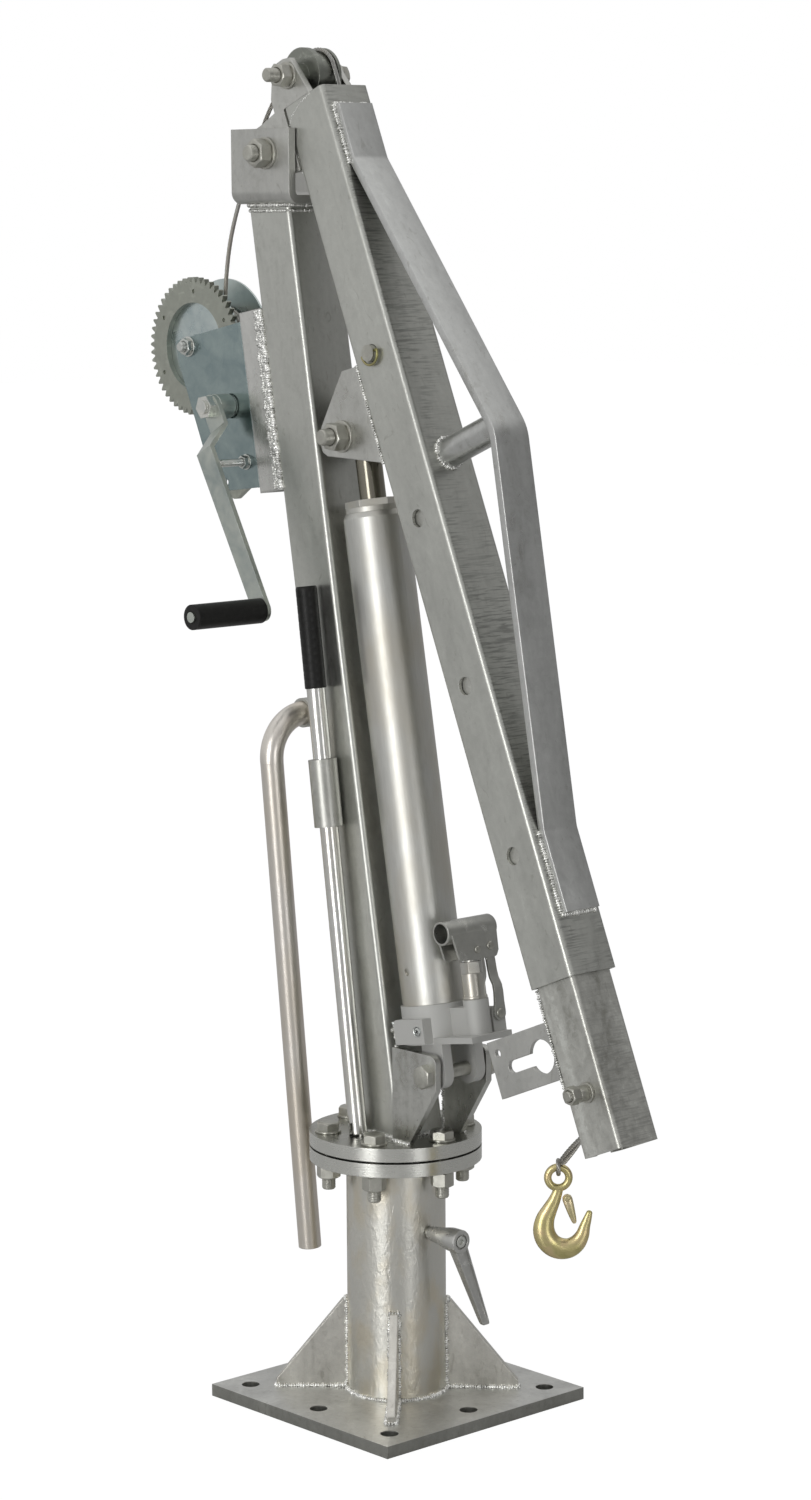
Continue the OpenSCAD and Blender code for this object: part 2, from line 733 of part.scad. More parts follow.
// Rope from the drum up to the sheave, bowed as slack wire rope hangs
run_a = 112;
run_r = rope_n - sheave_n;
lead_a = run_a + boom_tilt + 1;
lead_to = boom_pt(sheave_n, sheave_s) + run_r * [cos(lead_a), sin(lead_a)];
lead_from = mast_pt(drum_n + wind_r, drum_s + rope_d + 0.1);
lead_path = concat(
    [for (k = [0, rope_d]) [lead_from[0] - k * sin(mast_tilt), wind_y0, lead_from[1] + k * cos(mast_tilt)]],
    [[-271, -13.4, 1246], [-270.4, -11.8, 1284], [-266, -8, 1329], [-255.5, -3, 1372], [-239, 3, 1418],
        [-221.5, 7, 1460], [-206, 9, 1486], [-188.5, 10, 1507]],
    [for (k = [rope_d, 0]) [lead_to[0] - k * sin(lead_a), rope_y, lead_to[1] + k * cos(lead_a)]]);
module rope_lead() {
    color(steel) tube(lead_path, rope_r, 8, [0, 1, 0]);
}

// Outer boom tube with its locking holes through both sides
boom_corner = 6;
module boom_tube() {
    color(zinc) in_boom() difference() {
        square_tube(boom_w, boom_wall, boom_corner, boom_foot, boom_head);
        for (k = [0:3]) rod_y(lock_n, lock_s - k * hole_pitch, lock_pin_d / 2 + 0.5, -60, 60);
    }
}

// Two plates that carry the pivot bolt behind the boom and the sheave above it
module head_ears() {
    rear = -boom_w / 2;
    y = boom_w / 2 - ear_t / 2;
    color(zinc) in_boom() for (side = [-1, 1]) plate_xz(side * y - ear_t / 2, ear_t) difference() {
        union() {
            polygon([[13.5, boom_head], [-2.6, sheave_s + 17], [-13.6, sheave_s + 20], [-24.8, sheave_s + 20],
                [-42.3, sheave_s + 2], [-50.1, sheave_s - 13], [-50.4, boom_head + 2.8],
                [luff_n - 8, boom_head], [luff_n - 19, boom_head], [luff_n - 27, luff_s + 8], [luff_n, luff_s],
                [luff_n - 15, luff_s - 25], [rear, luff_s - 36], [rear, boom_head]]);
            translate([luff_n, luff_s]) circle(28);
        }
        translate([luff_n, luff_s]) circle(luff_r + fit);
        translate([sheave_n, sheave_s]) circle(sheave_bolt_r + fit);
    }
}

// Two triangular plates behind the boom that take the ram's head
module ram_brackets() {
    rear = -boom_w / 2;
    y = boom_w / 2 - ear_t / 2;
    n = ram_head_n;
    m = ram_head_s;
    color(zinc) in_boom() for (side = [-1, 1]) plate_xz(side * y - ear_t / 2, ear_t) difference() {
        polygon([[rear, m + 63], [n + 28, m + 67], [n - 29, m + 22], [n - 38, m + 8], [n - 38, m - 5],
            [n - 32, m - 12], [rear, m - 50]]);
        translate([n, m]) circle(head_bolt_r + fit);
    }
}
head_bolt_r = 9.5;
ear_in = boom_w / 2 - ear_t;
// The ram's head bolt, left open between the plates where the rod's eye runs
module ram_head_bolts() {
    half = boom_w / 2;
    color(steel) in_boom() difference() {
        cross_bolt(ram_head_n, ram_head_s, 2 * head_bolt_r, half, 32, 12, 16);
        translate([ram_head_n - 20, -ear_in + air, ram_head_s - 20]) cube([40, 2 * (ear_in - air), 40]);
    }
}

// Flat bar bowed out from the boom's front, and the short tube that props it
truss_mid = boom_head - 446;
truss_line = [[boom_w / 2, boom_head - 26], [boom_w / 2, boom_head - 93], [129.5, truss_mid],
    [boom_w / 2, boom_foot + 159], [boom_w / 2, boom_foot + 67]];
module truss_bar() {
    function turn(i) = let(
        a = unit(truss_line[i] - truss_line[i - 1]), b = unit(truss_line[i + 1] - truss_line[i]))
        unit(a + b) / (unit(a + b) * a);
    function normal(v) = [-v[1], v[0]];
    n = len(truss_line) - 1;
    outer = [for (i = [0:n]) truss_line[i] + truss_t * (i == 0 || i == n ?
        [1, 0] : normal(turn(i)))];
    color(zinc) in_boom() plate_xz(-truss_w / 2, truss_w)
        polygon(concat(truss_line, [for (i = [n:-1:0]) outer[i]]));
}
module truss_strut() {
    s = truss_mid + 9;
    color(zinc) in_boom() difference() {
        translate([boom_w / 2, 0, s]) rotate([0, 90, 0]) cylinder(d = strut_d, h = 110);
        translate([boom_w / 2 - 1, 0, s]) rotate([0, 90, 0]) cylinder(d = strut_d - 7, h = 112);
        plate_xz(-40, 80)
            polygon(concat([for (i = [1:3]) truss_line[i]], [[300, boom_foot], [300, boom_head]]));
    }
}

sheave_bolt_r = 8;
module sheave_bolt() {
    color(steel) in_boom() cross_bolt(sheave_n, sheave_s, 2 * sheave_bolt_r, boom_w / 2, 32, 10, 14);
}
// Wide rope sheave: a thick near rim, a groove for the rope, a far rim and a long hub
module sheave() {
    rim = 31.5;
    hub = 14;
    color([0.45, 0.46, 0.45]) in_boom() translate([sheave_n, 0, sheave_s]) rotate([90, 0, 0])
        rotate_extrude($fn = 72) polygon([
            [sheave_bolt_r + fit, -26], [hub, -26], [hub, -18], [rim, -18], [rim, -14.5],
            [sheave_groove, -13], [sheave_groove, 4], [rim, 7], [rim, 15], [hub, 15],
            [hub, 26], [sheave_bolt_r + fit, 26]]);
}
// Rope over the sheave and down inside the boom
run_joint = tip_head + 6;
run_path = concat(
    [for (a = [run_a:-14:0]) [sheave_n + run_r * cos(a), rope_y, sheave_s + run_r * sin(a)]],
    [for (s = [sheave_s - 60, sheave_s - 160, run_joint]) [rope_n, rope_y, s]]);
module rope_run() {
    color(steel) in_boom() tube(run_path, rope_r, 8, [0, 1, 0]);
}

// Tip tube with a slot for the locking pin and a slot for the rope at its end
roller_bolt_r = 6;
module tip_tube() {
    slot = 24;
    pin_r = lock_pin_d / 2 + 0.5;
    color(zinc) in_boom() difference() {
        square_tube(tip_w, tip_wall, 5, tip_foot, tip_head);
        rod_y(lock_n, lock_s, pin_r, -60, 60);
        translate([lock_n - pin_r, -60, lock_s]) cube([2 * pin_r, 120, tip_head]);
        rod_y(roller_n, roller_s, roller_bolt_r + fit, -60, 60);
        translate([-tip_w, -slot / 2, tip_foot - 1]) cube([tip_w, slot, roller_s - tip_foot - 6]);
    }
}
// Angle plate behind the tip tube, with a keyhole for a chain and a small hole
module keyhole_plate() {
    t = 5;
    reach = 101;
    lo = tip_foot + 89;
    hi = tip_foot + 153;
    slot_s = lo + 30;
    y0 = -tip_w / 2 + 1.5;
    rear = -tip_w / 2;
    color(zinc) in_boom() {
        plate_xz(y0, t) difference() {
            translate([rear - reach, lo]) square([reach, hi - lo]);
            translate([rear - 21, slot_s]) circle(19);
            translate([rear - 70, slot_s - 7]) square([50, 14]);
            translate([rear - 70, slot_s]) circle(7);
            translate([rear - 88, hi - 15]) circle(4.5);
        }
        translate([rear - t, y0 + t, lo - 12]) cube([t, 22, hi - lo + 36]);
    }
}
module tip_bolt() {
    color(steel) in_boom()
        cross_bolt(roller_n, roller_s, 2 * roller_bolt_r, tip_w / 2, 18, 8, 12, 13);
}
module tip_roller() {
    half = tip_w / 2 - tip_wall - 0.5;
    color(steel) in_boom() ring_y(roller_n, roller_s, roller_r, roller_bolt_r + fit, -half, half);
}

// Hook hung from the rope's end. Its own frame looks along Y at the hook's flat side.
hook_at = [266, 0, 313];
hook_turn = 48;
eye_major = 11.6;
eye_minor = 4.2;
loop_r = eye_minor + rope_r + 0.9;
loop_top = hook_at + [0, 0, eye_major];
module in_hook() { translate(hook_at) rotate([0, 0, hook_turn]) children(); }

// Rope inside the tip tube, round the end roller and out to the hook's eye
roller_c = boom_pt(roller_n, roller_s);
wrap_r = roller_r + rope_r + air;
exit_at = 50;
exit_to = [loop_top[0], loop_top[2]] + loop_r * [cos(exit_at), sin(exit_at)];
exit_v = exit_to - roller_c;
exit_a = atan2(exit_v[1], exit_v[0]) + acos(wrap_r / norm(exit_v));
exit_p = roller_c + wrap_r * [cos(exit_a), sin(exit_a)];
tail_y = 3;
tail_path = concat(
    [for (q = [[run_joint - 0.2, rope_y], [tip_head - 35, rope_y], [boom_foot + 417, 7],
        [boom_foot + 17, tail_y], [roller_s + 12, tail_y]])
        let(p = boom_pt(rope_n, q[0])) [p[0], q[1], p[1]]],
    [for (a = [boom_tilt:-13:exit_a])
        [roller_c[0] + wrap_r * cos(a), tail_y, roller_c[1] + wrap_r * sin(a)]],
    [for (k = [0, 0.6, 1]) let(p = exit_p + k * (exit_to - exit_p)) [p[0], tail_y * (1 - k), p[1]]]);
module rope_tail() {
    color(steel) {
        tube(tail_path, rope_r, 8, [0, 1, 0]);
        translate(loop_top) rotate([0, 0, hook_turn]) rotate([0, 90, 0])
            rotate_extrude() translate([loop_r, 0]) circle(rope_r - 0.02, $fn = 16);
    }
}

// Forged hook: an eye and a bill swept along a curve with a changing thickness
hook_line = [
    [0, -eye_major], [-1.5, -18], [-5, -27], [-10, -37], [-14.5, -47], [-16, -58], [-13.5, -68], [-7, -76],
    [2, -80], [12, -79.5], [20.5, -74], [26, -65.5], [29, -55.5], [32, -46.5], [34, -40]];
hook_radii = [5.5, 5.8, 7, 8.6, 10.4, 11.8, 12.4, 12.4, 12, 11, 9.6, 7.8, 6, 4.6, 3.4];
module hook() {
    color(gold) in_hook() {
        rotate([90, 0, 0]) rotate_extrude() translate([eye_major, 0]) circle(eye_minor, $fn = 20);
        scale([1, 0.78, 1]) tube([for (p = hook_line) [p[0], 0, p[1]]], hook_radii, 12, [0, 1, 0]);
    }
}
latch_at = [9.5, -23];
module hook_latch() {
    tip = [17.5, -50];
    color(gold) in_hook() {
        plate_xz(-3.2, 6.4) link2d(latch_at, 5.5, tip, 2.2);
    }
}

// Plain locking pin with a wire clip through its near end
pin_out = 7;
clip_y = -boom_w / 2 - pin_out + 3.2;
wire_r = 1.5;
module lock_pin() {
    color(steel) in_boom() difference() {
        rod_y(lock_n, lock_s, lock_pin_d / 2, -boom_w / 2 - pin_out, boom_w / 2 + 6);
        translate([lock_n - 20, clip_y, lock_s]) rotate([0, 90, 0])
            cylinder(r = wire_r + air, h = 40, $fn = 24);
    }
}
// Straight wire through the pin, closed by a half ring that hangs below
module pin_ring() {
    major = lock_pin_d / 2 + wire_r + 2;
    color(gold) in_boom() translate([lock_n, clip_y, lock_s]) {
        translate([-major, 0, 0]) rotate([0, 90, 0]) cylinder(r = wire_r, h = 2 * major, $fn = 24);
        rotate([90, 0, 0]) rotate([0, 0, 180])
            rotate_extrude(angle = 180) translate([major, 0]) circle(wire_r, $fn = 24);
    }
}

// Cast foot of the ram with two lugs, the pump's boss and the valve block
pump_x = 46;
pump_y = 2;
link_y = 22;
base_lo = 34;
base_hi = 78;
valve_z = 52;
valve_x = -45;
valve_y = -38;
valve_r = 4.5;
link_lo = 61;
link_hi = 137;
link_pin_r = 3.5;
plunger_z = 135;
pump_bore_r = 8;
module ram_base() {
    lug_r = 17;
    color(cast) in_ram() difference() {
        union() {
            for (side = [-1, 1]) plate_xz(side * 24 - 6.5, 13) union() {
                circle(lug_r);
                translate([-lug_r, 0]) square([2 * lug_r, base_lo + 1]);
            }
            translate([-40, -30.5, base_lo]) cube([108, 61, 7]);
            translate([ram_off, 0, base_lo]) cylinder(r = ram_d / 2 + 2.5, h = base_hi - base_lo, $fn = 72);
            translate([pump_x, pump_y, base_lo]) cylinder(r = 14.5, h = 80 - base_lo);
            translate([ram_off, -12, base_lo]) cube([pump_x - ram_off, 20, 38]);
            translate([valve_x, -44, 36]) cube([49, 40, 22]);
            translate([valve_x + 6, -44, 57]) cube([43, 40, 7]);
            translate([valve_x + 6, -4, 58]) rotate([90, 0, 0]) cylinder(r = 6, h = 40);
            translate([pump_x - 12.5, link_y - 8, base_lo]) cube([25, 18, link_lo - base_lo]);
            translate([pump_x - 12.5, link_y, link_lo]) rotate([0, 90, 0]) cylinder(r = 8, h = 25);
        }
        rod_y(0, 0, foot_r + fit, -50, 50);
        translate([ram_off, 0, base_lo + 12]) cylinder(d = ram_bore, h = 100, $fn = 72);
        translate([pump_x, pump_y, base_lo + 14]) cylinder(r = 8, h = 100);
        translate([valve_x - 1, valve_y, valve_z]) rotate([0, 90, 0]) cylinder(r = valve_r + fit, h = 22);
        translate([pump_x - 30, link_y, link_lo]) rotate([0, 90, 0]) cylinder(r = link_pin_r + fit, h = 60);
    }
}
// Cylinder with a rounded shoulder at its mouth
module ram_cylinder() {
    length = ram_top - base_hi;
    shoulder = 6;
    color(bright) in_ram() translate([ram_off, 0, base_hi]) difference() {
        union() {
            cylinder(d = ram_d, h = length - shoulder, $fn = 96);
            translate([0, 0, length - shoulder])
                cylinder(d1 = ram_d, d2 = ram_d - 6, h = shoulder, $fn = 96);
        }
        translate([0, 0, -1]) cylinder(d = ram_bore, h = length + 2, $fn = 72);
        translate([0, 0, 52]) rotate([110, 0, 0]) cylinder(r = 4, h = ram_d);
    }
}
// Gland screwed into the cylinder's mouth, with a round collar and a hexagon above it
module gland_nut() {
    depth = 34;
    collar_h = 6;
    hex_h = 8;
    color(bright) in_ram() translate([ram_off, 0, ram_top]) difference() {
        union() {
            translate([0, 0, -depth]) cylinder(r = ram_bore / 2 - fit, h = depth, $fn = 72);
            cylinder(r = ram_d / 2 - 3.5, h = collar_h, $fn = 72);
            translate([0, 0, collar_h]) rotate([0, 0, -72])
                cylinder(r = ram_d / 2 - 4, h = hex_h, $fn = 6);
        }
        translate([0, 0, -depth - 1]) cylinder(r = rod_d / 2 + fit, h = depth + collar_h + hex_h + 2);
    }
}
// Ram rod with its piston and the wide eye at its head
module ram_rod() {
    eye_r = 16.5;
    eye_half = 25;
    piston_z = base_lo + 16;
    piston_h = 34;
    color(bright) in_ram() difference() {
        union() {
            translate([ram_off, 0, piston_z]) cylinder(r = ram_bore / 2 - fit, h = piston_h, $fn = 72);
            translate([ram_off, 0, piston_z]) cylinder(d = rod_d, h = ram_h - piston_z);
            rod_y(ram_off, ram_h, eye_r, -eye_half, eye_half);
        }
        rod_y(ram_off, ram_h, head_bolt_r + 0.5, -eye_half - 1, eye_half + 1);
    }
}

// Pump barrel screwed into the casting's boss
module pump_barrel() {
    color(bright) in_ram() translate([pump_x, pump_y, 80]) difference() {
        union() {
            cylinder(r = 13, h = 29);
            translate([0, 0, 29]) cylinder(d = 22 / cos(30), h = 13, $fn = 6);
        }
        translate([0, 0, -1]) cylinder(r = pump_bore_r, h = 50);
    }
}
module pump_plunger() {
    eye_r = 7.5;
    half = 8.4;
    color(bright) in_ram() difference() {
        union() {
            translate([pump_x, pump_y, 60]) cylinder(r = pump_bore_r - fit, h = plunger_z - 60);
            translate([pump_x - half, pump_y, plunger_z]) rotate([0, 90, 0]) cylinder(r = eye_r, h = 2 * half);
        }
        translate([pump_x - 20, pump_y, plunger_z]) rotate([0, 90, 0]) cylinder(r = 4.6, h = 40);
    }
}
// Two curved links beside the lever's cheeks, on one pin through the casting's lug
module pump_links() {
    inner = 14;
    t = 4;
    color(steel) in_ram() {
        for (side = [-1, 1]) translate([pump_x + side * (inner + t / 2) - t / 2, 0, 0])
            rotate([90, 0, 90]) linear_extrude(t) difference() {
                union() {
                    translate([link_y, link_lo]) circle(9.5);
                    translate([link_y, link_hi]) circle(8);
                    polygon([[link_y - 9, link_lo + 3], [link_y - 11, link_lo + 14],
                        [4, link_lo + 25], [3, link_lo + 40], [4, link_hi - 14],
                        [link_y - 5, link_hi + 6], [link_y + 7.5, link_hi - 3],
                        [link_y + 4.5, link_lo + 55], [link_y + 3, link_lo + 33],
                        [link_y + 6, link_lo + 14], [link_y + 9, link_lo + 3]]);
                }
                translate([link_y, link_hi]) circle(link_pin_r + fit);
            }
        translate([pump_x - inner - t - 3, link_y, link_lo]) rotate([0, 90, 0])
            cylinder(r = link_pin_r, h = 2 * (inner + t + 3));
    }
}
// Socket tube for the handle with two cheeks, and the pins the cheeks carry
module pump_lever() {
    socket_z = 158;
    color(zinc) in_ram() {
        ring_y(pump_x, socket_z, 13.5, handle_d / 2 + 0.4, -38, 36);
        for (side = [-1, 1]) translate([pump_x + side * 10.5 - 1.5, 0, 0]) rotate([90, 0, 90])
            linear_extrude(3) polygon([[-22, 147], [-10, 127], [-4, 124], [link_y + 8, 124],
                [link_y + 11, 128], [link_y + 11, socket_z - 10], [-22, socket_z - 10]]);
        translate([pump_x - 20, link_y, link_hi]) rotate([0, 90, 0]) cylinder(r = link_pin_r, h = 40);
        translate([pump_x - 12, pump_y, plunger_z]) rotate([0, 90, 0]) cylinder(r = 3, h = 24);
    }
}
module release_valve() {
    stem = 10;
    color(steel) in_ram() translate([valve_x, valve_y, valve_z]) rotate([0, -90, 0]) {
        translate([0, 0, -20]) cylinder(r = valve_r, h = 20 + stem);
        translate([-10, 0, stem - 4]) rotate([0, 90, 0]) cylinder(r = 2.2, h = 20);
    }
}

// Clamp lever: a threaded stud, a flared hub with a button and a tapered arm
module clamp_lever() {
    seat = pipe_r + 2.5;
    hub_l = 51;
    hub_r = 13.5;
    arm = [11.5, 31, -86.5];
    color(cast) translate([0, 0, clamp_z]) {
        translate([post_r + air, 0, 0]) rotate([0, 90, 0]) cylinder(r = clamp_stud_r, h = seat + 36 - post_r);
        translate([seat, 0, 0]) rotate([0, 90, 0]) difference() {
            union() {
                cylinder(r1 = 8, r2 = 10.5, h = 20);
                translate([0, 0, 20]) cylinder(r1 = 10.5, r2 = hub_r, h = 13);
                translate([0, 0, 33]) cylinder(r = hub_r, h = hub_l - 33);
            }
            translate([0, 0, hub_l - 3]) cylinder(r = 8.5, h = 5);
        }
        translate([seat + hub_l - 7, 0, 0]) rotate([0, 90, 0]) cylinder(r = 6, h = 6.5);
        hull() {
            translate([pipe_r + 42, 2, -6]) cube([13, 18, 8], center = true);
            translate([pipe_r + 40, 0, 0] + arm) cube([7, 11, 2], center = true);
        }
    }
}

base_plate();
pedestal_pipe();
gussets();
thrust_ring();
turning_post();
lower_flange();
upper_flange();
flange_bolts();
mast_tube();
foot_clevis();
mast_gusset();
head_bracket();
luff_bolt();
ram_foot_bolt();
winch_channel();
handle_sleeve();
slew_socket();
winch_frame();
winch_screws();
drum_axle();
pawl_stud();
rope_lead();
rope_drum();
drum_gear();
rope_winding();
crank_shaft();
crank_arm();
crank_grip();
winch_pawl();
boom_tube();
head_ears();
ram_brackets();
truss_bar();
truss_strut();
ram_head_bolts();
sheave_bolt();
rope_run();
sheave();
tip_tube();
keyhole_plate();
tip_bolt();
tip_roller();
rope_tail();
hook();
hook_latch();
lock_pin();
pin_ring();
ram_base();
ram_cylinder();
gland_nut();
pump_barrel();
ram_rod();
pump_plunger();
pump_links();
pump_lever();
release_valve();
clamp_lever();
pump_handle();
handle_grip();
slew_handle();
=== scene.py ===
"""Finishes, ropes, fasteners and weld beads of a folded truck jib crane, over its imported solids.

Sizes are in millimetres, as on the crane's own drawing, and become metres when a mesh is made.
"""

from __future__ import annotations

import logging
import math
from collections.abc import Callable, Sequence
from dataclasses import dataclass, field
from enum import Enum

import bpy
from mathutils import Matrix, Vector


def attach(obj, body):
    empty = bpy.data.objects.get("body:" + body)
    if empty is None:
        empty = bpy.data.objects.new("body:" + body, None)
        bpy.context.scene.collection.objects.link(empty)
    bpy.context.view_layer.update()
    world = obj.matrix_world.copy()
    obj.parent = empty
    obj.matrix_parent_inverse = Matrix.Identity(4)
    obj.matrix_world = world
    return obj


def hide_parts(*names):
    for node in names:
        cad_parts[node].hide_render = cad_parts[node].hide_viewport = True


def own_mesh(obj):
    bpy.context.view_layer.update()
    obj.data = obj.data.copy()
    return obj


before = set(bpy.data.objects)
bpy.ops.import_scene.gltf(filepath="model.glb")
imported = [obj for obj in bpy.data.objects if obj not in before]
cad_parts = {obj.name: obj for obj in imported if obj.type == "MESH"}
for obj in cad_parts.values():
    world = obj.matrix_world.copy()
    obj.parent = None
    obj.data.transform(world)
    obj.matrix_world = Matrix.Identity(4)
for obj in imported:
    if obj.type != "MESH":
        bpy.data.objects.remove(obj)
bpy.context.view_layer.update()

MM = 0.001
TURN = 2 * math.pi
UP = (0.0, 0.0, 1.0)
MAST_LEAN, BOOM_LEAN, RAM_LEAN = 9.56, 22.57, 9.85
WARM_SHADE = 0.96
Colour = tuple[float, float, float]
log = logging.getLogger("jib_crane")


@dataclass(frozen=True)
class Wire:
    """An output socket of a node tree that takes part in arithmetic."""

    bench: Bench
    socket: bpy.types.NodeSocket

    def __add__(self, other: Wire | float) -> Wire:
        """Adds a value or another socket."""
        return self.bench.maths("ADD", self, other)

    def __radd__(self, other: Wire | float) -> Wire:
        """Adds this socket to a value."""
        return self.bench.maths("ADD", other, self)

    def __sub__(self, other: Wire | float) -> Wire:
        """Takes a value or another socket away."""
        return self.bench.maths("SUBTRACT", self, other)

    def __rsub__(self, other: Wire | float) -> Wire:
        """Takes this socket away from a value."""
        return self.bench.maths("SUBTRACT", other, self)

    def __mul__(self, other: Wire | float) -> Wire:
        """Multiplies by a value or another socket."""
        return self.bench.maths("MULTIPLY", self, other)

    def __rmul__(self, other: Wire | float) -> Wire:
        """Multiplies a value by this socket."""
        return self.bench.maths("MULTIPLY", other, self)


class Bench:
    """Adds nodes to one shader or geometry tree."""

    def __init__(self, tree: bpy.types.NodeTree) -> None:
        """Starts with an empty tree.

        Args:
            tree: The node tree to fill.
        """
        self.tree = tree
        tree.nodes.clear()

    def node(
        self,
        kind: str,
        settings: dict[str, object] | None = None,
        values: dict[str, object] | None = None,
        output: str | int = 0,
    ) -> Wire:
        """Adds one node.

        Args:
            kind: The node's type.
            settings: Its own settings, set first. "stops" fills a colour ramp.
            values: A value or a wire for each input, by identifier or name.
            output: The output that is wanted, by identifier, name or number.

        Returns:
            The wanted output, or the first one.
        """
        made = self.tree.nodes.new(kind)
        for name, setting in (settings or {}).items():
            if name == "stops":
                self._fill_ramp(made.color_ramp, setting)
            else:
                setattr(made, name, setting)
        for name, value in (values or {}).items():
            socket = self._find(made.inputs, name)
            if isinstance(value, Wire):
                self.tree.links.new(value.socket, socket)
            else:
                socket.default_value = value
        return Wire(self, self._find(made.outputs, output) if len(made.outputs) else None)

    def _find(self, sockets: Sequence, name: str | int) -> bpy.types.NodeSocket:
        """Finds a socket.

        Args:
            sockets: A node's inputs or outputs.
            name: Its identifier, its name or its number.

        Returns:
            The socket.
        """
        if isinstance(name, int):
            return sockets[name]
        for socket in sockets:
            if socket.identifier == name:
                return socket
        return next(socket for socket in sockets if socket.name == name and socket.enabled)

    def _fill_ramp(self, ramp: bpy.types.ColorRamp, stops: Sequence) -> None:
        """Sets a colour ramp's stops.

        Args:
            ramp: The ramp.
            stops: Pairs of a position and a grey level or a colour.
        """
        while len(ramp.elements) < len(stops):
            ramp.elements.new(0.5)
        for element, (place, level) in zip(ramp.elements, stops):
            element.position = place
            element.color = (*level, 1) if isinstance(level, tuple) else (level, level, level, 1)

    def maths(self, operation: str, *values: Wire | float) -> Wire:
        """Adds a Math node.

        Args:
            operation: Its operation.
            values: Its inputs, in order.

        Returns:
            The result.
        """
        names = ("Value", "Value_001", "Value_002")
        return self.node("ShaderNodeMath", {"operation": operation}, dict(zip(names, values)))

    def noise(
        self,
        place: Wire,
        size: float,
        detail: float = 3,
        stretch: Colour = (1, 1, 1),
        turn: Colour = (0, 0, 0),
        warp: float = 0,
    ) -> Wire:
        """Adds noise whose spots are about a given size.

        Args:
            place: The coordinates.
            size: The size of a spot in millimetres.
            detail: The noise's detail.
            stretch: How much longer than that a spot is along each axis.
            turn: How far the axes are turned, in degrees.
            warp: The noise's distortion.

        Returns:
            The noise, about 0.5 on average.
        """
        axes = self.node(
            "ShaderNodeMapping",
            {"vector_type": "TEXTURE"},
            {"Vector": place, "Scale": stretch, "Rotation": tuple(map(math.radians, turn))},
        )
        return self.node(
            "ShaderNodeTexNoise",
            {},
            {"Vector": axes, "Scale": 1 / (size * MM), "Detail": detail, "Distortion": warp},
            "Fac",
        )

    def ramp(self, value: Wire, *stops: tuple[float, object]) -> Wire:
        """Adds a colour ramp.

        Args:
            value: What it reads.
            stops: Pairs of a position and a grey level or a colour.

        Returns:
            The ramp's colour.
        """
        return self.node("ShaderNodeValToRGB", {"stops": stops}, {"Fac": value}, "Color")

    def mix(self, amount: Wire | float, first: object, second: object) -> Wire:
        """Mixes two colours.

        Args:
            amount: The share of the second one.
            first: A colour or a wire.
            second: A colour or a wire.

        Returns:
            The mixed colour.
        """
        sides = {
            name: side if isinstance(side, Wire) else (*side, 1)
            for name, side in (("A_Color", first), ("B_Color", second))
        }
        return self.node(
            "ShaderNodeMix",
            {"data_type": "RGBA"},
            {"Factor_Float": amount, **sides},
            "Result_Color",
        )

    def rise(self, value: Wire, low: float, high: float) -> Wire:
        """Adds a ramp from 0 at one level to 1 at another."""
        return self.ramp(value, (low, 0.0), (high, 1.0))

    def along(self, vector: Wire, way: Colour) -> Wire:
        """Measures how far a vector points along a direction."""
        values = {"Vector": vector, "Vector_001": way}
        return self.node("ShaderNodeVectorMath", {"operation": "DOT_PRODUCT"}, values, "Value")


@dataclass(frozen=True)
class Skin:
    """What varies over a finish."""

    colour: Wire
    roughness: Wire | float
    relief: Wire
    height: float = 0.2


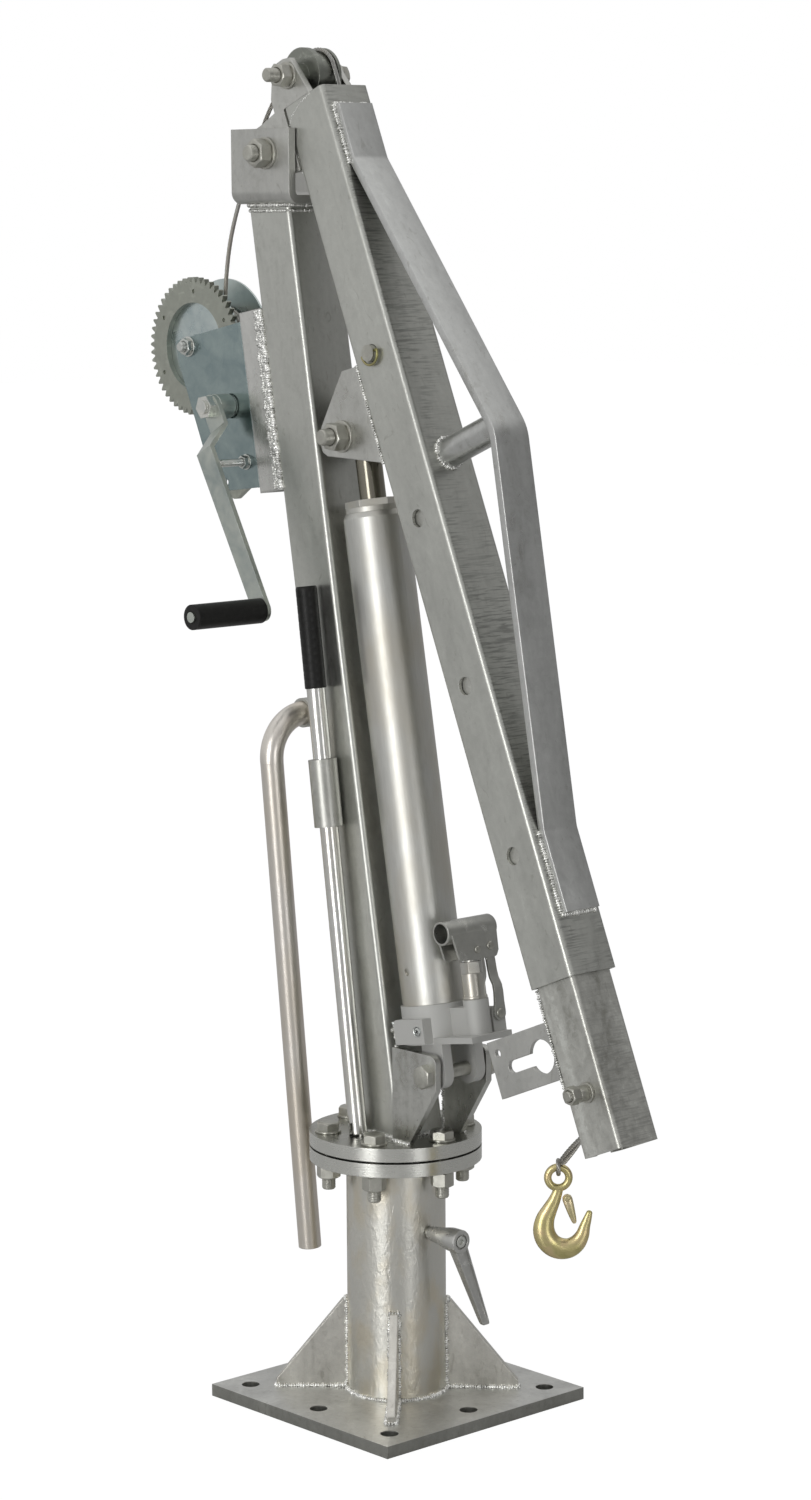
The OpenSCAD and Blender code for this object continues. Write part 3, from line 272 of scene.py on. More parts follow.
@dataclass(frozen=True)
class Finish:
    """A finish of the crane, with what is the same all over it."""

    name: str
    slot: str
    tone: Colour
    metal: float = 1.0
    rough: float = 0.4
    edge: float = 0.9
    coat: float = 0.0
    shine: float = 0.5

    def skin(self, bench: Bench, place: Wire) -> Skin:
        """Lays down the finish's colour, roughness and relief.

        Args:
            bench: The material's tree.
            place: Object coordinates.

        Returns:
            The finish's skin.
        """
        cloud = bench.noise(place, 30)
        fine = bench.noise(place, 1.2, 2)
        colour = bench.mix(cloud, self.shade(0.88), self.shade(1.1))
        return Skin(colour, self.rough + 0.12 * (cloud - 0.5), fine, 0.05)

    def flat(self, bench: Bench) -> Wire:
        """Finds the faces that look up.

        Args:
            bench: The material's tree.

        Returns:
            1 where a face looks up and 0 on its rim.
        """
        facing = bench.node("ShaderNodeTexCoord", output="Normal")
        return bench.rise(bench.along(facing, UP), 0.45, 0.75)

    def toned(self, bench: Bench, colour: Wire, level: float) -> Wire:
        """Makes a varying colour lighter or darker.

        Args:
            bench: The material's tree.
            colour: The colour.
            level: The factor on it.

        Returns:
            The changed colour.
        """
        return bench.node(
            "ShaderNodeMix", {"data_type": "RGBA", "blend_type": "MULTIPLY"},
            {
                "Factor_Float": 1.0,
                "A_Color": colour,
                "B_Color": (level, level, WARM_SHADE * level, 1),
            },
            "Result_Color",
        )

    def shade(self, level: float, tint: Colour = (1, 1, 1)) -> Colour:
        """Gives the tone made lighter or darker.

        Args:
            level: The factor on the tone.
            tint: A factor on each channel.

        Returns:
            The colour.
        """
        return tuple(min(1.0, channel * level * part) for channel, part in zip(self.tone, tint))

    def material(self) -> bpy.types.Material:
        """Makes the finish's material once.

        Returns:
            The material.
        """
        if self.name in bpy.data.materials:
            return bpy.data.materials[self.name]
        made = bpy.data.materials.new(self.name)
        made.use_nodes = True
        bench = Bench(made.node_tree)
        place = bench.node("ShaderNodeTexCoord", output="Object")
        skin = self.skin(bench, place)
        worn = bench.node("ShaderNodeBevel", {"samples": 4}, {"Radius": self.edge * MM})
        normal = bench.node(
            "ShaderNodeBump",
            {},
            {"Strength": 1.0, "Distance": skin.height * MM, "Height": skin.relief, "Normal": worn},
        )
        surface = bench.node(
            "ShaderNodeBsdfPrincipled",
            {},
            {
                "Base Color": skin.colour,
                "Metallic": self.metal,
                "Roughness": skin.roughness,
                "Coat Weight": self.coat,
                "Specular IOR Level": self.shine,
                "Normal": normal,
            },
        )
        bench.node("ShaderNodeOutputMaterial", {}, {"Surface": surface})
        return made


@dataclass(frozen=True)
class Galvanised(Finish):
    """Hot-dip zinc: cloudy, with faint spangle, runs and scuffs."""

    streak: tuple[float, float, float] = (1, 1, 5)
    lean: float = 0.0
    mottle: float = 1.0
    scored: float = 0.0
    ripple: float = 0.3
    # Factor on the colour of faces that don't look up: painted shade on a plate's rim, 1 for none.
    rim: float = 1.0

    def skin(self, bench: Bench, place: Wire) -> Skin:
        """Lays zinc clouds, runs along the piece, spangle, scuffs, score marks and painted rim
        shade.

        Args:
            bench: The material's tree.
            place: Object coordinates.

        Returns:
            The finish's skin.
        """
        lean = (0, -self.lean, 0)
        cloud = bench.noise(place, 55, 5, self.streak, lean, 0.6)
        patch = bench.noise(place, 17, 4, (1, 1, 1.7), lean, 1.2)
        run = bench.noise(place, 7, 3, (1, 1, 9), lean)
        grit = bench.noise(place, 1.6, 2)
        spangle = bench.node(
            "ShaderNodeTexVoronoi", {"feature": "F1"}, {"Vector": place, "Scale": 190.0}, "Color"
        )
        flake = bench.node("ShaderNodeRGBToBW", {}, {"Color": spangle})
        tone = 0.42 * cloud + 0.26 * patch + 0.12 * run + 0.08 * flake + 0.12 * grit
        spread = (tone - 0.5) * self.mottle + 0.5
        base = bench.ramp(
            spread,
            (0.34, self.shade(0.66, (1.0, 0.99, 0.95))),
            (0.46, self.shade(0.92)),
            (0.56, self.shade(1.06)),
            (0.68, self.shade(1.32, (1.0, 1.01, 1.02))),
        )
        scuff = bench.rise(bench.noise(place, 11, 6, (1, 1, 2.2), lean, 2.0), 0.63, 0.72)
        colour = bench.mix(0.45 * scuff, base, self.shade(0.62, (1.0, 0.98, 0.93)))
        if self.scored:
            marks = self.scored * self.scores(bench, place, lean)
            colour = bench.mix(marks, colour, self.shade(0.5))
        # Painted shade: faces that don't look up are darkened by the rim factor.
        if self.rim != 1.0:
            colour = bench.mix(self.flat(bench), self.toned(bench, colour, self.rim), colour)
        rough = self.rough + 0.28 * (cloud - 0.5) + 0.16 * (patch - 0.5)
        relief = 0.5 * patch + 0.3 * run + 0.2 * grit
        return Skin(colour, rough, relief, self.ripple)

    def scores(self, bench: Bench, place: Wire, lean: Colour) -> Wire:
        """Draws short dark marks across the front of a member.

        Args:
            bench: The material's tree.
            place: Object coordinates.
            lean: The member's lean, as a rotation.

        Returns:
            Where the marks are, from 0 to 1.
        """
        facing = bench.node("ShaderNodeTexCoord", output="Normal")
        a = math.radians(self.lean)
        front = bench.along(facing, (math.cos(a), 0.0, math.sin(a)))
        line = bench.rise(bench.noise(place, 1.7, 4, (1, 16, 1), lean, 0.4), 0.48, 0.6)
        where = bench.rise(bench.noise(place, 60, 3, (1, 1, 2.4), lean), 0.36, 0.56)
        return line * where * bench.rise(front, 0.8, 0.92)


@dataclass(frozen=True)
class ZincPlate(Finish):
    """Bluish bright zinc plate with faint bands and water marks."""

    def skin(self, bench: Bench, place: Wire) -> Skin:
        """Lays down soft bands, stains and a faint grain.

        Args:
            bench: The material's tree.
            place: Object coordinates.

        Returns:
            The finish's skin.
        """
        band = bench.noise(place, 40, 3, (2.5, 1, 1), (0, 30, 0), 0.4)
        stain = bench.noise(place, 15, 5, warp=0.8)
        grain = bench.noise(place, 0.9, 2, (1, 1, 6))
        colour = bench.ramp(
            0.6 * band + 0.4 * stain,
            (0.36, self.shade(0.8, (0.95, 1.0, 1.03))),
            (0.5, self.shade(1.0)),
            (0.64, self.shade(1.16, (1.02, 1.0, 0.98))),
        )
        return Skin(colour, self.rough + 0.2 * (stain - 0.5), 0.3 * stain + 0.7 * grain, 0.08)


@dataclass(frozen=True)
class SatinMetal(Finish):
    """Steel ground or brushed along one direction."""

    lay: tuple[float, float, float] = (1, 1, 14)
    lean: float = 0.0
    warmth: float = 0.06

    def skin(self, bench: Bench, place: Wire) -> Skin:
        """Lays down brushing, hand marks and a warm bloom.

        Args:
            bench: The material's tree.
            place: Object coordinates.

        Returns:
            The finish's skin.
        """
        lean = (0, -self.lean, 0)
        brush = bench.noise(place, 1.4, 3, self.lay, lean)
        cloud = bench.noise(place, 60, 4, (1, 1, 2), lean)
        mark = bench.noise(place, 9, 5, (1, 1, 2), lean, 1.5)
        warm = (1.0 + self.warmth, 1.0, 1.0 - 1.6 * self.warmth)
        cool = bench.mix(brush, self.shade(0.86), self.shade(1.12))
        colour = bench.mix(bench.rise(cloud, 0.42, 0.62), cool, self.shade(0.9, warm))
        rough = self.rough + 0.16 * (cloud - 0.5) + 0.14 * (mark - 0.5) + 0.1 * (brush - 0.5)
        return Skin(colour, rough, 0.75 * brush + 0.25 * mark, 0.07)


@dataclass(frozen=True)
class Hammered(Finish):
    """Zinc over a hammered pipe: shallow dimples, soft bands and a warm bloom."""

    def skin(self, bench: Bench, place: Wire) -> Skin:
        """Lays down dimples, pale bands down the pipe and warm stains.

        Args:
            bench: The material's tree.
            place: Object coordinates.

        Returns:
            The finish's skin.
        """
        dimple = bench.noise(place, 6.5, 3, (1, 1, 1.6), warp=0.6)
        cloud = bench.noise(place, 42, 4, (1, 1, 2.6), warp=0.5)
        grit = bench.noise(place, 1.5, 2)
        warm = bench.rise(bench.noise(place, 30, 4, (1, 1, 1.8)), 0.44, 0.62)
        cool = bench.mix(cloud, self.shade(0.86, (0.98, 1.0, 1.02)), self.shade(1.1))
        colour = bench.mix(0.7 * warm, cool, self.shade(0.92, (1.06, 0.99, 0.86)))
        rough = self.rough + 0.24 * (cloud - 0.5) + 0.1 * (dimple - 0.5)
        return Skin(colour, rough, 0.9 * dimple + 0.1 * grit, 0.55)


@dataclass(frozen=True)
class Turned(Finish):
    """Zinc over a turned flange, with marks that run round its rim."""

    def skin(self, bench: Bench, place: Wire) -> Skin:
        """Lays down thin lines round the rim, clouds, small pits and painted shade on faces that
        look up.

        Args:
            bench: The material's tree.
            place: Object coordinates.

        Returns:
            The finish's skin.
        """
        line = bench.noise(place, 1.6, 3, (24, 24, 1))
        cloud = bench.noise(place, 34, 4)
        pit = bench.rise(bench.noise(place, 3.4, 3), 0.62, 0.72)
        colour = bench.mix(cloud, self.shade(0.92), self.shade(1.1))
        colour = bench.mix(0.2 * pit, colour, self.shade(0.6))
        # Painted shade: faces that look up are darkened to 0.62 of the colour.
        colour = bench.mix(self.flat(bench), colour, self.toned(bench, colour, 0.62))
        rough = self.rough + 0.26 * (cloud - 0.5) + 0.16 * (line - 0.5)
        return Skin(colour, rough, 0.8 * line + 0.2 * cloud, 0.05)


@dataclass(frozen=True)
class YellowZinc(Finish):
    """Yellow chromated zinc, between brass, green and rose."""

    def skin(self, bench: Bench, place: Wire) -> Skin:
        """Lays down the film's changing tints over a forged surface.

        Args:
            bench: The material's tree.
            place: Object coordinates.

        Returns:
            The finish's skin.
        """
        film = bench.noise(place, 26, 3, warp=0.7)
        forge = bench.noise(place, 7, 3)
        colour = bench.ramp(
            film,
            (0.30, self.shade(0.78, (0.94, 1.0, 0.82))),
            (0.43, self.shade(0.95, (0.98, 1.0, 0.92))),
            (0.52, self.shade(1.04)),
            (0.60, self.shade(1.08, (1.03, 0.96, 1.04))),
            (0.70, self.shade(1.16, (1.0, 1.01, 1.18))),
        )
        return Skin(colour, self.rough + 0.1 * (forge - 0.5), forge, 0.1)


@dataclass(frozen=True)
class Casting(Finish):
    """Rough casting under a thin coat of paint."""

    grain: float = 1.5

    def skin(self, bench: Bench, place: Wire) -> Skin:
        """Lays down sand grain, thin paint and rubbed high spots.

        Args:
            bench: The material's tree.
            place: Object coordinates.

        Returns:
            The finish's skin.
        """
        sand = bench.noise(place, self.grain, 3)
        lump = bench.noise(place, 8, 3)
        wear = bench.rise(bench.noise(place, 14, 6, warp=0.7), 0.56, 0.7)
        paint = bench.mix(lump, self.shade(0.84), self.shade(1.12))
        colour = bench.mix(0.6 * wear, paint, self.shade(1.45))
        rough = self.rough - 0.12 * wear + 0.1 * (sand - 0.5)
        return Skin(colour, rough, 0.6 * sand + 0.4 * lump, 0.3)


@dataclass(frozen=True)
class WeldMetal(Finish):
    """Zinc over a rippled weld, broken up, with painted highlight and painted shade that follow its
    ripples.
    """

    def skin(self, bench: Bench, place: Wire) -> Skin:
        """Lays down ripples whose tone follows their relief: painted highlight on crests, painted
        shade in hollows.

        Args:
            bench: The material's tree.
            place: Object coordinates.

        Returns:
            The finish's skin.
        """
        ripple = bench.noise(place, 3.2, 3, warp=0.8)
        cloud = bench.noise(place, 12, 3)
        # Tone follows the ripple relief: painted shade in the hollows and painted highlight on the
        # crests, over patchy zinc.
        colour = bench.ramp(
            0.6 * ripple + 0.4 * cloud,
            (0.36, self.shade(0.5)),
            (0.48, self.shade(0.85)),
            (0.6, self.shade(1.2)),
        )
        return Skin(colour, self.rough + 0.5 * (ripple - 0.5), ripple, 1.1)


@dataclass(frozen=True)
class GripRubber(Finish):
    """Black moulded grip, smooth with a faint skin."""

    def skin(self, bench: Bench, place: Wire) -> Skin:
        """Lays down dust, polish from hands and a fine skin.

        Args:
            bench: The material's tree.
            place: Object coordinates.

        Returns:
            The finish's skin.
        """
        hand = bench.noise(place, 22, 3)
        fine = bench.noise(place, 0.9, 2)
        dust = bench.rise(bench.noise(place, 6, 5), 0.5, 0.75)
        colour = bench.mix(0.35 * dust, self.shade(1.0), self.shade(2.6))
        return Skin(colour, self.rough + 0.2 * (hand - 0.5), fine, 0.06)


@dataclass(frozen=True)
class Finishes:
    """Every finish of the crane."""

    # The base plate's rim carries painted shade at half its tone.
    plate: Galvanised = Galvanised(
        "zinc_base_plate", "galvanised", (0.60, 0.60, 0.575), 0.88, 0.36, 1.4, mottle=0.8, rim=0.5
    )
    pipe: Hammered = Hammered("zinc_pedestal", "galvanised", (0.66, 0.645, 0.59), 1.0, 0.36)
    mast: Galvanised = Galvanised(
        "zinc_mast", "galvanised", (0.53, 0.535, 0.50), 0.95, 0.36, lean=MAST_LEAN,
        mottle=0.6, ripple=0.2,
    )
    channel: Galvanised = Galvanised(
        "zinc_channel", "galvanised", (0.60, 0.60, 0.575), 0.95, 0.28, 4.0,
        lean=MAST_LEAN, mottle=0.7,
    )
    flange: Galvanised = Galvanised(
        "zinc_flange", "galvanised", (0.52, 0.52, 0.49), 0.95, 0.32, 1.2
    )
    gusset: Galvanised = Galvanised(
        "zinc_gusset", "galvanised", (0.66, 0.645, 0.595), 0.95, 0.34, 2.4
    )
    # The flanges' upward faces carry painted shade.
    deck: Turned = Turned("turned_flange", "galvanised", (0.58, 0.58, 0.545), 0.95, 0.26, 1.2)
    bracket: Galvanised = Galvanised(
        "zinc_bracket", "galvanised", (0.53, 0.53, 0.505), 0.92, 0.4, 1.4, mottle=0.6, ripple=0.2
    )
    ear: Galvanised = Galvanised(
        "zinc_ear", "galvanised", (0.55, 0.55, 0.52), 0.95, 0.32, 1.8,
        lean=BOOM_LEAN, mottle=0.8,
    )
    boom: Galvanised = Galvanised(
        "zinc_boom", "galvanised", (0.52, 0.525, 0.49), 0.95, 0.36, lean=BOOM_LEAN, mottle=0.6,
        scored=0.75, ripple=0.2,
    )
    truss: Galvanised = Galvanised(
        "zinc_truss", "galvanised", (0.56, 0.565, 0.55), 0.95, 0.34, 0.7, lean=20, mottle=0.7,
        ripple=0.2,
    )
    tip: Galvanised = Galvanised(
        "zinc_tip", "galvanised", (0.52, 0.52, 0.485), 0.95, 0.4, lean=BOOM_LEAN,
        mottle=1.3, scored=0.4,
    )
    weld: WeldMetal = WeldMetal("zinc_weld", "galvanised", (0.82, 0.82, 0.79), 1.0, 0.26, 0.2)
    fillet: WeldMetal = WeldMetal("smooth_weld", "galvanised", (0.64, 0.64, 0.61), 1.0, 0.36, 0.2)
    winch: ZincPlate = ZincPlate("winch_plate", "zinc_plate", (0.28, 0.345, 0.345), 1.0, 0.2)
    reel: ZincPlate = ZincPlate("drum_plate", "zinc_plate", (0.50, 0.565, 0.56), 1.0, 0.3)
    crank: ZincPlate = ZincPlate("crank_plate", "zinc_plate", (0.48, 0.515, 0.48), 1.0, 0.34)
    gear: Casting = Casting("gear_steel", "plated_steel", (0.36, 0.375, 0.325), 0.95, 0.4, 0.5, 0.4)
    hook: YellowZinc = YellowZinc("hook_zinc", "gold_zinc", (0.60, 0.52, 0.265), 1.0, 0.32, 0.6)
    latch: YellowZinc = YellowZinc("latch_zinc", "gold_zinc", (0.74, 0.63, 0.42), 1.0, 0.32, 0.5)
    clip: YellowZinc = YellowZinc("clip_zinc", "gold_zinc", (0.40, 0.36, 0.19), 1.0, 0.3, 0.3)
    handle: SatinMetal = SatinMetal(
        "bright_handle", "bright_steel", (0.70, 0.70, 0.68), 1.0, 0.22, lean=7.5, warmth=0.02
    )
    slewer: SatinMetal = SatinMetal(
        "satin_handle", "bright_steel", (0.74, 0.705, 0.655), 1.0, 0.34, warmth=0.04
    )
    ram: SatinMetal = SatinMetal(
        "satin_cylinder", "silver_paint", (0.58, 0.58, 0.55), 1.0, 0.42, lean=RAM_LEAN, warmth=0.04
    )
    chrome: SatinMetal = SatinMetal(
        "chrome_rod", "hard_chrome", (0.26, 0.25, 0.215), 1.0, 0.12, lean=RAM_LEAN, warmth=0.03
    )
    pump: SatinMetal = SatinMetal(
        "pump_steel", "bright_steel", (0.52, 0.52, 0.50), 1.0, 0.34, 0.5, lay=(1, 1, 1)
    )
    plated: Galvanised = Galvanised(
        "plated_bolt", "plated_steel", (0.46, 0.455, 0.41), 0.95, 0.32, 0.6, ripple=0.15
    )
    nickel: ZincPlate = ZincPlate("bright_bolt", "plated_steel", (0.62, 0.63, 0.60), 1.0, 0.22, 0.4)
    casting: Casting = Casting("grey_casting", "grey_casting", (0.185, 0.18, 0.168), 0.8, 0.4, 1.8)
    painted: Casting = Casting(
        "painted_lever", "grey_casting", (0.52, 0.52, 0.50), 0.8, 0.32, 1.2, grain=2.4
    )
    linkage: Casting = Casting(
        "grey_linkage", "galvanised", (0.43, 0.43, 0.40), 0.9, 0.34, 0.8, grain=0.9
    )
    sleeve: Galvanised = Galvanised("zinc_sleeve", "galvanised", (0.46, 0.46, 0.43), 0.95, 0.38)
    sheave: Casting = Casting("sheave_steel", "plated_steel", (0.27, 0.28, 0.25), 0.95, 0.34, 1.0)
    rope: SatinMetal = SatinMetal(
        "rope_wire", "wire_rope", (0.40, 0.40, 0.385), 1.0, 0.36, 0.1, lay=(1, 1, 1)
    )
    grip: GripRubber = GripRubber(
        "moulded_grip", "black_grip", (0.010, 0.010, 0.0095), 0.0, 0.42, shine=0.25
    )
    bronze: SatinMetal = SatinMetal("bronze_thrust", "bronze_ring", (0.42, 0.31, 0.2), 1.0, 0.4)
    # Near-black painted shade for the valve screw's slots and groove.
    pit: Casting = Casting("painted_recess_shade", "plated_steel", (0.03, 0.03, 0.03), 0.4, 0.6)


FINISH = Finishes()


@dataclass(frozen=True)
class Axes:
    """Axes that lean back in the boom's plane, or lie along a member of the crane."""

    x: float = 0.0
    z: float = 0.0
    lean: float = 0.0
    y: float = 0.0

    @property
    def place(self) -> Matrix:
        """Takes the member's own coordinates to the crane's.

        Returns:
            The matrix, in millimetres.
        """
        return Matrix.Translation((self.x, self.y, self.z)) @ Matrix.Rotation(
            math.radians(-self.lean), 4, "Y"
        )

    def at(self, n: float, y: float, s: float) -> Vector:
        """Gives a point of the member in the crane's coordinates.

        Args:
            n: The distance out from the axis.
            y: The distance across.
            s: The distance along the axis.

        Returns:
            The point in millimetres.
        """
        return self.place @ Vector((n, y, s))


ALONG_Y = Matrix.Rotation(math.radians(-90), 4, "X")
ALONG_X = Matrix.Rotation(math.radians(90), 4, "Y")
UPRIGHT = Matrix(((0, 0, 1, 0), (1, 0, 0, 0), (0, 1, 0, 0), (0, 0, 0, 1)))


@dataclass
class Shape:
    """Loose faces in millimetres, before they become a piece."""

    points: list[Vector] = field(default_factory=list)
    faces: list[tuple[int, ...]] = field(default_factory=list)

    def join(self, other: Shape, place: Matrix | None = None) -> Shape:
        """Takes another shape in.

        Args:
            other: The other shape.
            place: Where it goes.

        Returns:
            This shape.
        """
        start = len(self.points)
        place = place or Matrix.Identity(4)
        self.points += [place @ point for point in other.points]
        self.faces += [tuple(start + corner for corner in face) for face in other.faces]
        return self

    def outward(self) -> Shape:
        """Turns every face round if the shape is inside out.

        Returns:
            This shape.
        """
        volume = 0.0
        for face in self.faces:
            first = self.points[face[0]]
            for one, two in zip(face[1:], face[2:]):
                volume += first.dot(self.points[one].cross(self.points[two]))
        if volume < 0:
            self.faces = [tuple(reversed(face)) for face in self.faces]
        return self

    def mesh(self, name: str, place: Matrix | None = None) -> bpy.types.Mesh:
        """Makes a mesh in metres.

        Args:
            name: Its name.
            place: Where the shape goes.

        Returns:
            The mesh.
        """
        placed = Shape().join(self, place)
        made = bpy.data.meshes.new(name)
        made.from_pydata([point * MM for point in placed.points], [], placed.faces)
        made.validate()
        return made


def piece(
    mesh: bpy.types.Mesh,
    finish: Finish,
    body: str,
    stands_for: Sequence[str] = (),
    bend: float = 38,
) -> bpy.types.Object:
    """Puts a finished piece on its body.

    Args:
        mesh: The piece's mesh, in metres and in place.
        finish: Its finish.
        body: The body that it moves with.
        stands_for: The solids that it replaces.
        bend: The angle past which an edge stays sharp.

    Returns:
        The piece.
    """
    made = bpy.data.objects.new(mesh.name, mesh)
    bpy.context.scene.collection.objects.link(made)
    mesh.materials.clear()
    mesh.materials.append(finish.material())
    mesh.shade_smooth()
    mesh.set_sharp_from_angle(angle=math.radians(bend))
    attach(made, body)
    if stands_for:
        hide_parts(*stands_for)
    log.info("%s: %d faces on %s", made.name, len(mesh.polygons), body)
    return made


def dress(finish: Finish, *nodes: str) -> None:
    """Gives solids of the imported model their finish.

    Args:
        finish: The finish.
        nodes: The solids' names.
    """
    for name in nodes:
        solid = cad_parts[name]
        solid.data.materials.clear()
        solid.data.materials.append(finish.material())
        log.info("%s: dressed in %s", name, finish.name)


def lathe(
    outline: Sequence[tuple[float, float]],
    sides: int = 48,
    limit: Callable[[float], float] | None = None,
) -> Shape:
    """Turns a closed outline round the Z axis.

    Args:
        outline: Pairs of a radius and a height.
        sides: The number of sides.
        limit: The greatest radius at an angle, such as a hexagon's.

    Returns:
        The turned shape.
    """
    made = Shape()
    rings: list[list[int]] = []
    for radius, height in outline:
        if radius < 1e-6:
            made.points.append(Vector((0, 0, height)))
            rings.append([len(made.points) - 1] * sides)
            continue
        start = len(made.points)
        for k in range(sides):
            a = TURN * k / sides
            r = min(radius, limit(a)) if limit else radius
            made.points.append(Vector((r * math.cos(a), r * math.sin(a), height)))
        rings.append(list(range(start, start + sides)))
    closed = outline[0][0] > 1e-6 or outline[-1][0] > 1e-6
    pairs = list(zip(rings, rings[1:])) + ([(rings[-1], rings[0])] if closed else [])
    for low, high in pairs:
        for k in range(sides):
            j = (k + 1) % sides
            corners = dict.fromkeys((low[k], low[j], high[j], high[k]))
            if len(corners) > 2:
                made.faces.append(tuple(corners))
    return made.outward()


def disc(radius: float, low: float, high: float, bore: float = 0.0, soft: float = 0.5) -> Shape:
    """Makes a round disc, collar or washer with soft edges.

    Args:
        radius: The outer radius.
        low: The lower face.
        high: The upper face.
        bore: The bore's radius.
        soft: The radius of its edges.

    Returns:
        The disc.
    """
    steps = [(1 - math.sin(a), 1 - math.cos(a)) for a in (0, math.pi / 6, math.pi / 3, math.pi / 2)]
    lower = [(radius - soft * out, low + soft * up) for out, up in steps]
    upper = [(r, high + low - z) for r, z in reversed(lower)]
    return lathe([(bore, low), *lower, *upper, (bore, high)])


def hexagon(flats: float, low: float, high: float, bore: float = 0.0, both: bool = False) -> Shape:
    """Makes a bolt head or a nut with chamfered corners.

    Args:
        flats: The width across the flats.
        low: The seated face.
        high: The free face.
        bore: The bore's radius.
        both: Whether both faces are chamfered.

    Returns:
        The hexagon.
    """
    inner = flats / 2

    def edge(angle: float) -> float:
        """Gives the hexagon's radius at an angle."""
        return inner / math.cos((angle + math.pi / 6) % (math.pi / 3) - math.pi / 6)

    start, corner = 0.95 * inner, inner / math.cos(math.pi / 6)
    slope = math.tan(math.radians(30)) * math.copysign(1, high - low)
    cone = [start + (corner - start) * k / 4 for k in range(5)]
    top = [(r, high - slope * (r - start)) for r in reversed(cone)]
    bottom = [(r, low + slope * (r - start)) for r in cone] if both else [(corner, low)]
    rim = high - 0.9 * math.copysign(1, high - low)
    chamfer = [(bore + 0.9, high), (bore, rim)] if bore else [(0, high)]
    return lathe([(bore, low), *bottom, *top, *chamfer], 48, edge)


def thread(radius: float, low: float, high: float, pitch: float = 2.0) -> Shape:
    """Makes a threaded rod whose far end, at low, is chamfered.

    Args:
        radius: The radius over the crests.
        low: The free end.
        high: The end inside the nut.
        pitch: The thread's pitch.

    Returns:
        The rod.
    """
    sides, way = 20, math.copysign(1, high - low)
    count = max(2, int(abs(high - low) / pitch * 5))
    made = Shape([Vector((0, 0, low))])
    for i in range(count + 1):
        run = abs(high - low) * i / count
        crest = min(radius, 0.80 * radius + 0.9 * run)
        for k in range(sides):
            turn = (run / pitch + k / sides) % 1
            r = min(crest, radius - 1.1 * abs(turn - 0.5) * pitch * 0.6)
            a = TURN * k / sides
            made.points.append(Vector((r * math.cos(a), r * math.sin(a), low + way * run)))
    made.points.append(Vector((0, 0, high)))
    last = 1 + count * sides
    for k in range(sides):
        j = (k + 1) % sides
        made.faces.append((0, 1 + j, 1 + k))
        made.faces.append((last + k, last + j, last + sides))
        for i in range(count):
            base = 1 + i * sides
            made.faces.append((base + k, base + j, base + sides + j, base + sides + k))
    return made.outward()


def skinned(rings: Sequence[Sequence[Vector]]) -> Shape:
    """Joins rings of as many points each into a tube with closed ends.

    Args:
        rings: The rings, from one end to the other.

    Returns:
        The tube.
    """
    count, last = len(rings[0]), len(rings) - 1
    made = Shape([point for ring in rings for point in ring])
    for i in range(last):
        low, high = i * count, (i + 1) * count
        for k in range(count):
            j = (k + 1) % count
            made.faces.append((low + k, low + j, high + j, high + k))
    made.faces.append(tuple(range(count - 1, -1, -1)))
    made.faces.append(tuple(last * count + k for k in range(count)))
    return made.outward()


def plate(
    outline: Sequence[tuple[float, float]], low: float, high: float, soft: float = 0.5
) -> Shape:
    """Extrudes an outline and softens its two rims.

    Args:
        outline: The outline's corners in order, against the clock.
        low: The lower face.
        high: The upper face.
        soft: How much is taken off the rims.

    Returns:
        The plate.
    """
    corners = [Vector(corner) for corner in outline]
    count = len(corners)
    inset = []
    for k, corner in enumerate(corners):
        one = (corner - corners[k - 1]).normalized()
        two = (corners[(k + 1) % count] - corner).normalized()
        inward = Vector((-one.y - two.y, one.x + two.x))
        inset.append(corner + inward * soft / max(0.5, 1 + one.dot(two)))
    rings = ((inset, low), (corners, low + soft), (corners, high - soft), (inset, high))
    return skinned([[Vector((*corner, height)) for corner in ring] for ring, height in rings])


def bent(before: Vector, here: Vector, after: Vector, radius: float, steps: int) -> list[Vector]:
    """Rounds one corner of a line.

    Args:
        before: The point before the corner.
        here: The corner.
        after: The point after it.
        radius: The rounding's radius.
        steps: The number of its faces.

    Returns:
        The rounding's points.
    """
    one, two = (before - here).normalized(), (after - here).normalized()
    reach = radius * math.tan((math.pi - one.angle(two)) / 2)
    start, end = here + one * reach, here + two * reach
    shares = [i / steps for i in range(steps + 1)]
    return [(1 - t) ** 2 * start + 2 * t * (1 - t) * here + t * t * end for t in shares]


def rounded(
    corners: Sequence[tuple[float, float, float]], steps: int = 5
) -> list[tuple[float, float]]:
    """Rounds the corners of an outline.

    Args:
        corners: Each corner with its radius.
        steps: The number of faces on each rounding.

    Returns:
        The outline.
    """
    made: list[tuple[float, float]] = []
    spots = [Vector(corner[:2]) for corner in corners]
    for k, (x, y, radius) in enumerate(corners):
        if radius > 0:
            after = spots[(k + 1) % len(spots)]
            made += map(tuple, bent(spots[k - 1], spots[k], after, radius, steps))
        else:
            made.append((x, y))
    return made


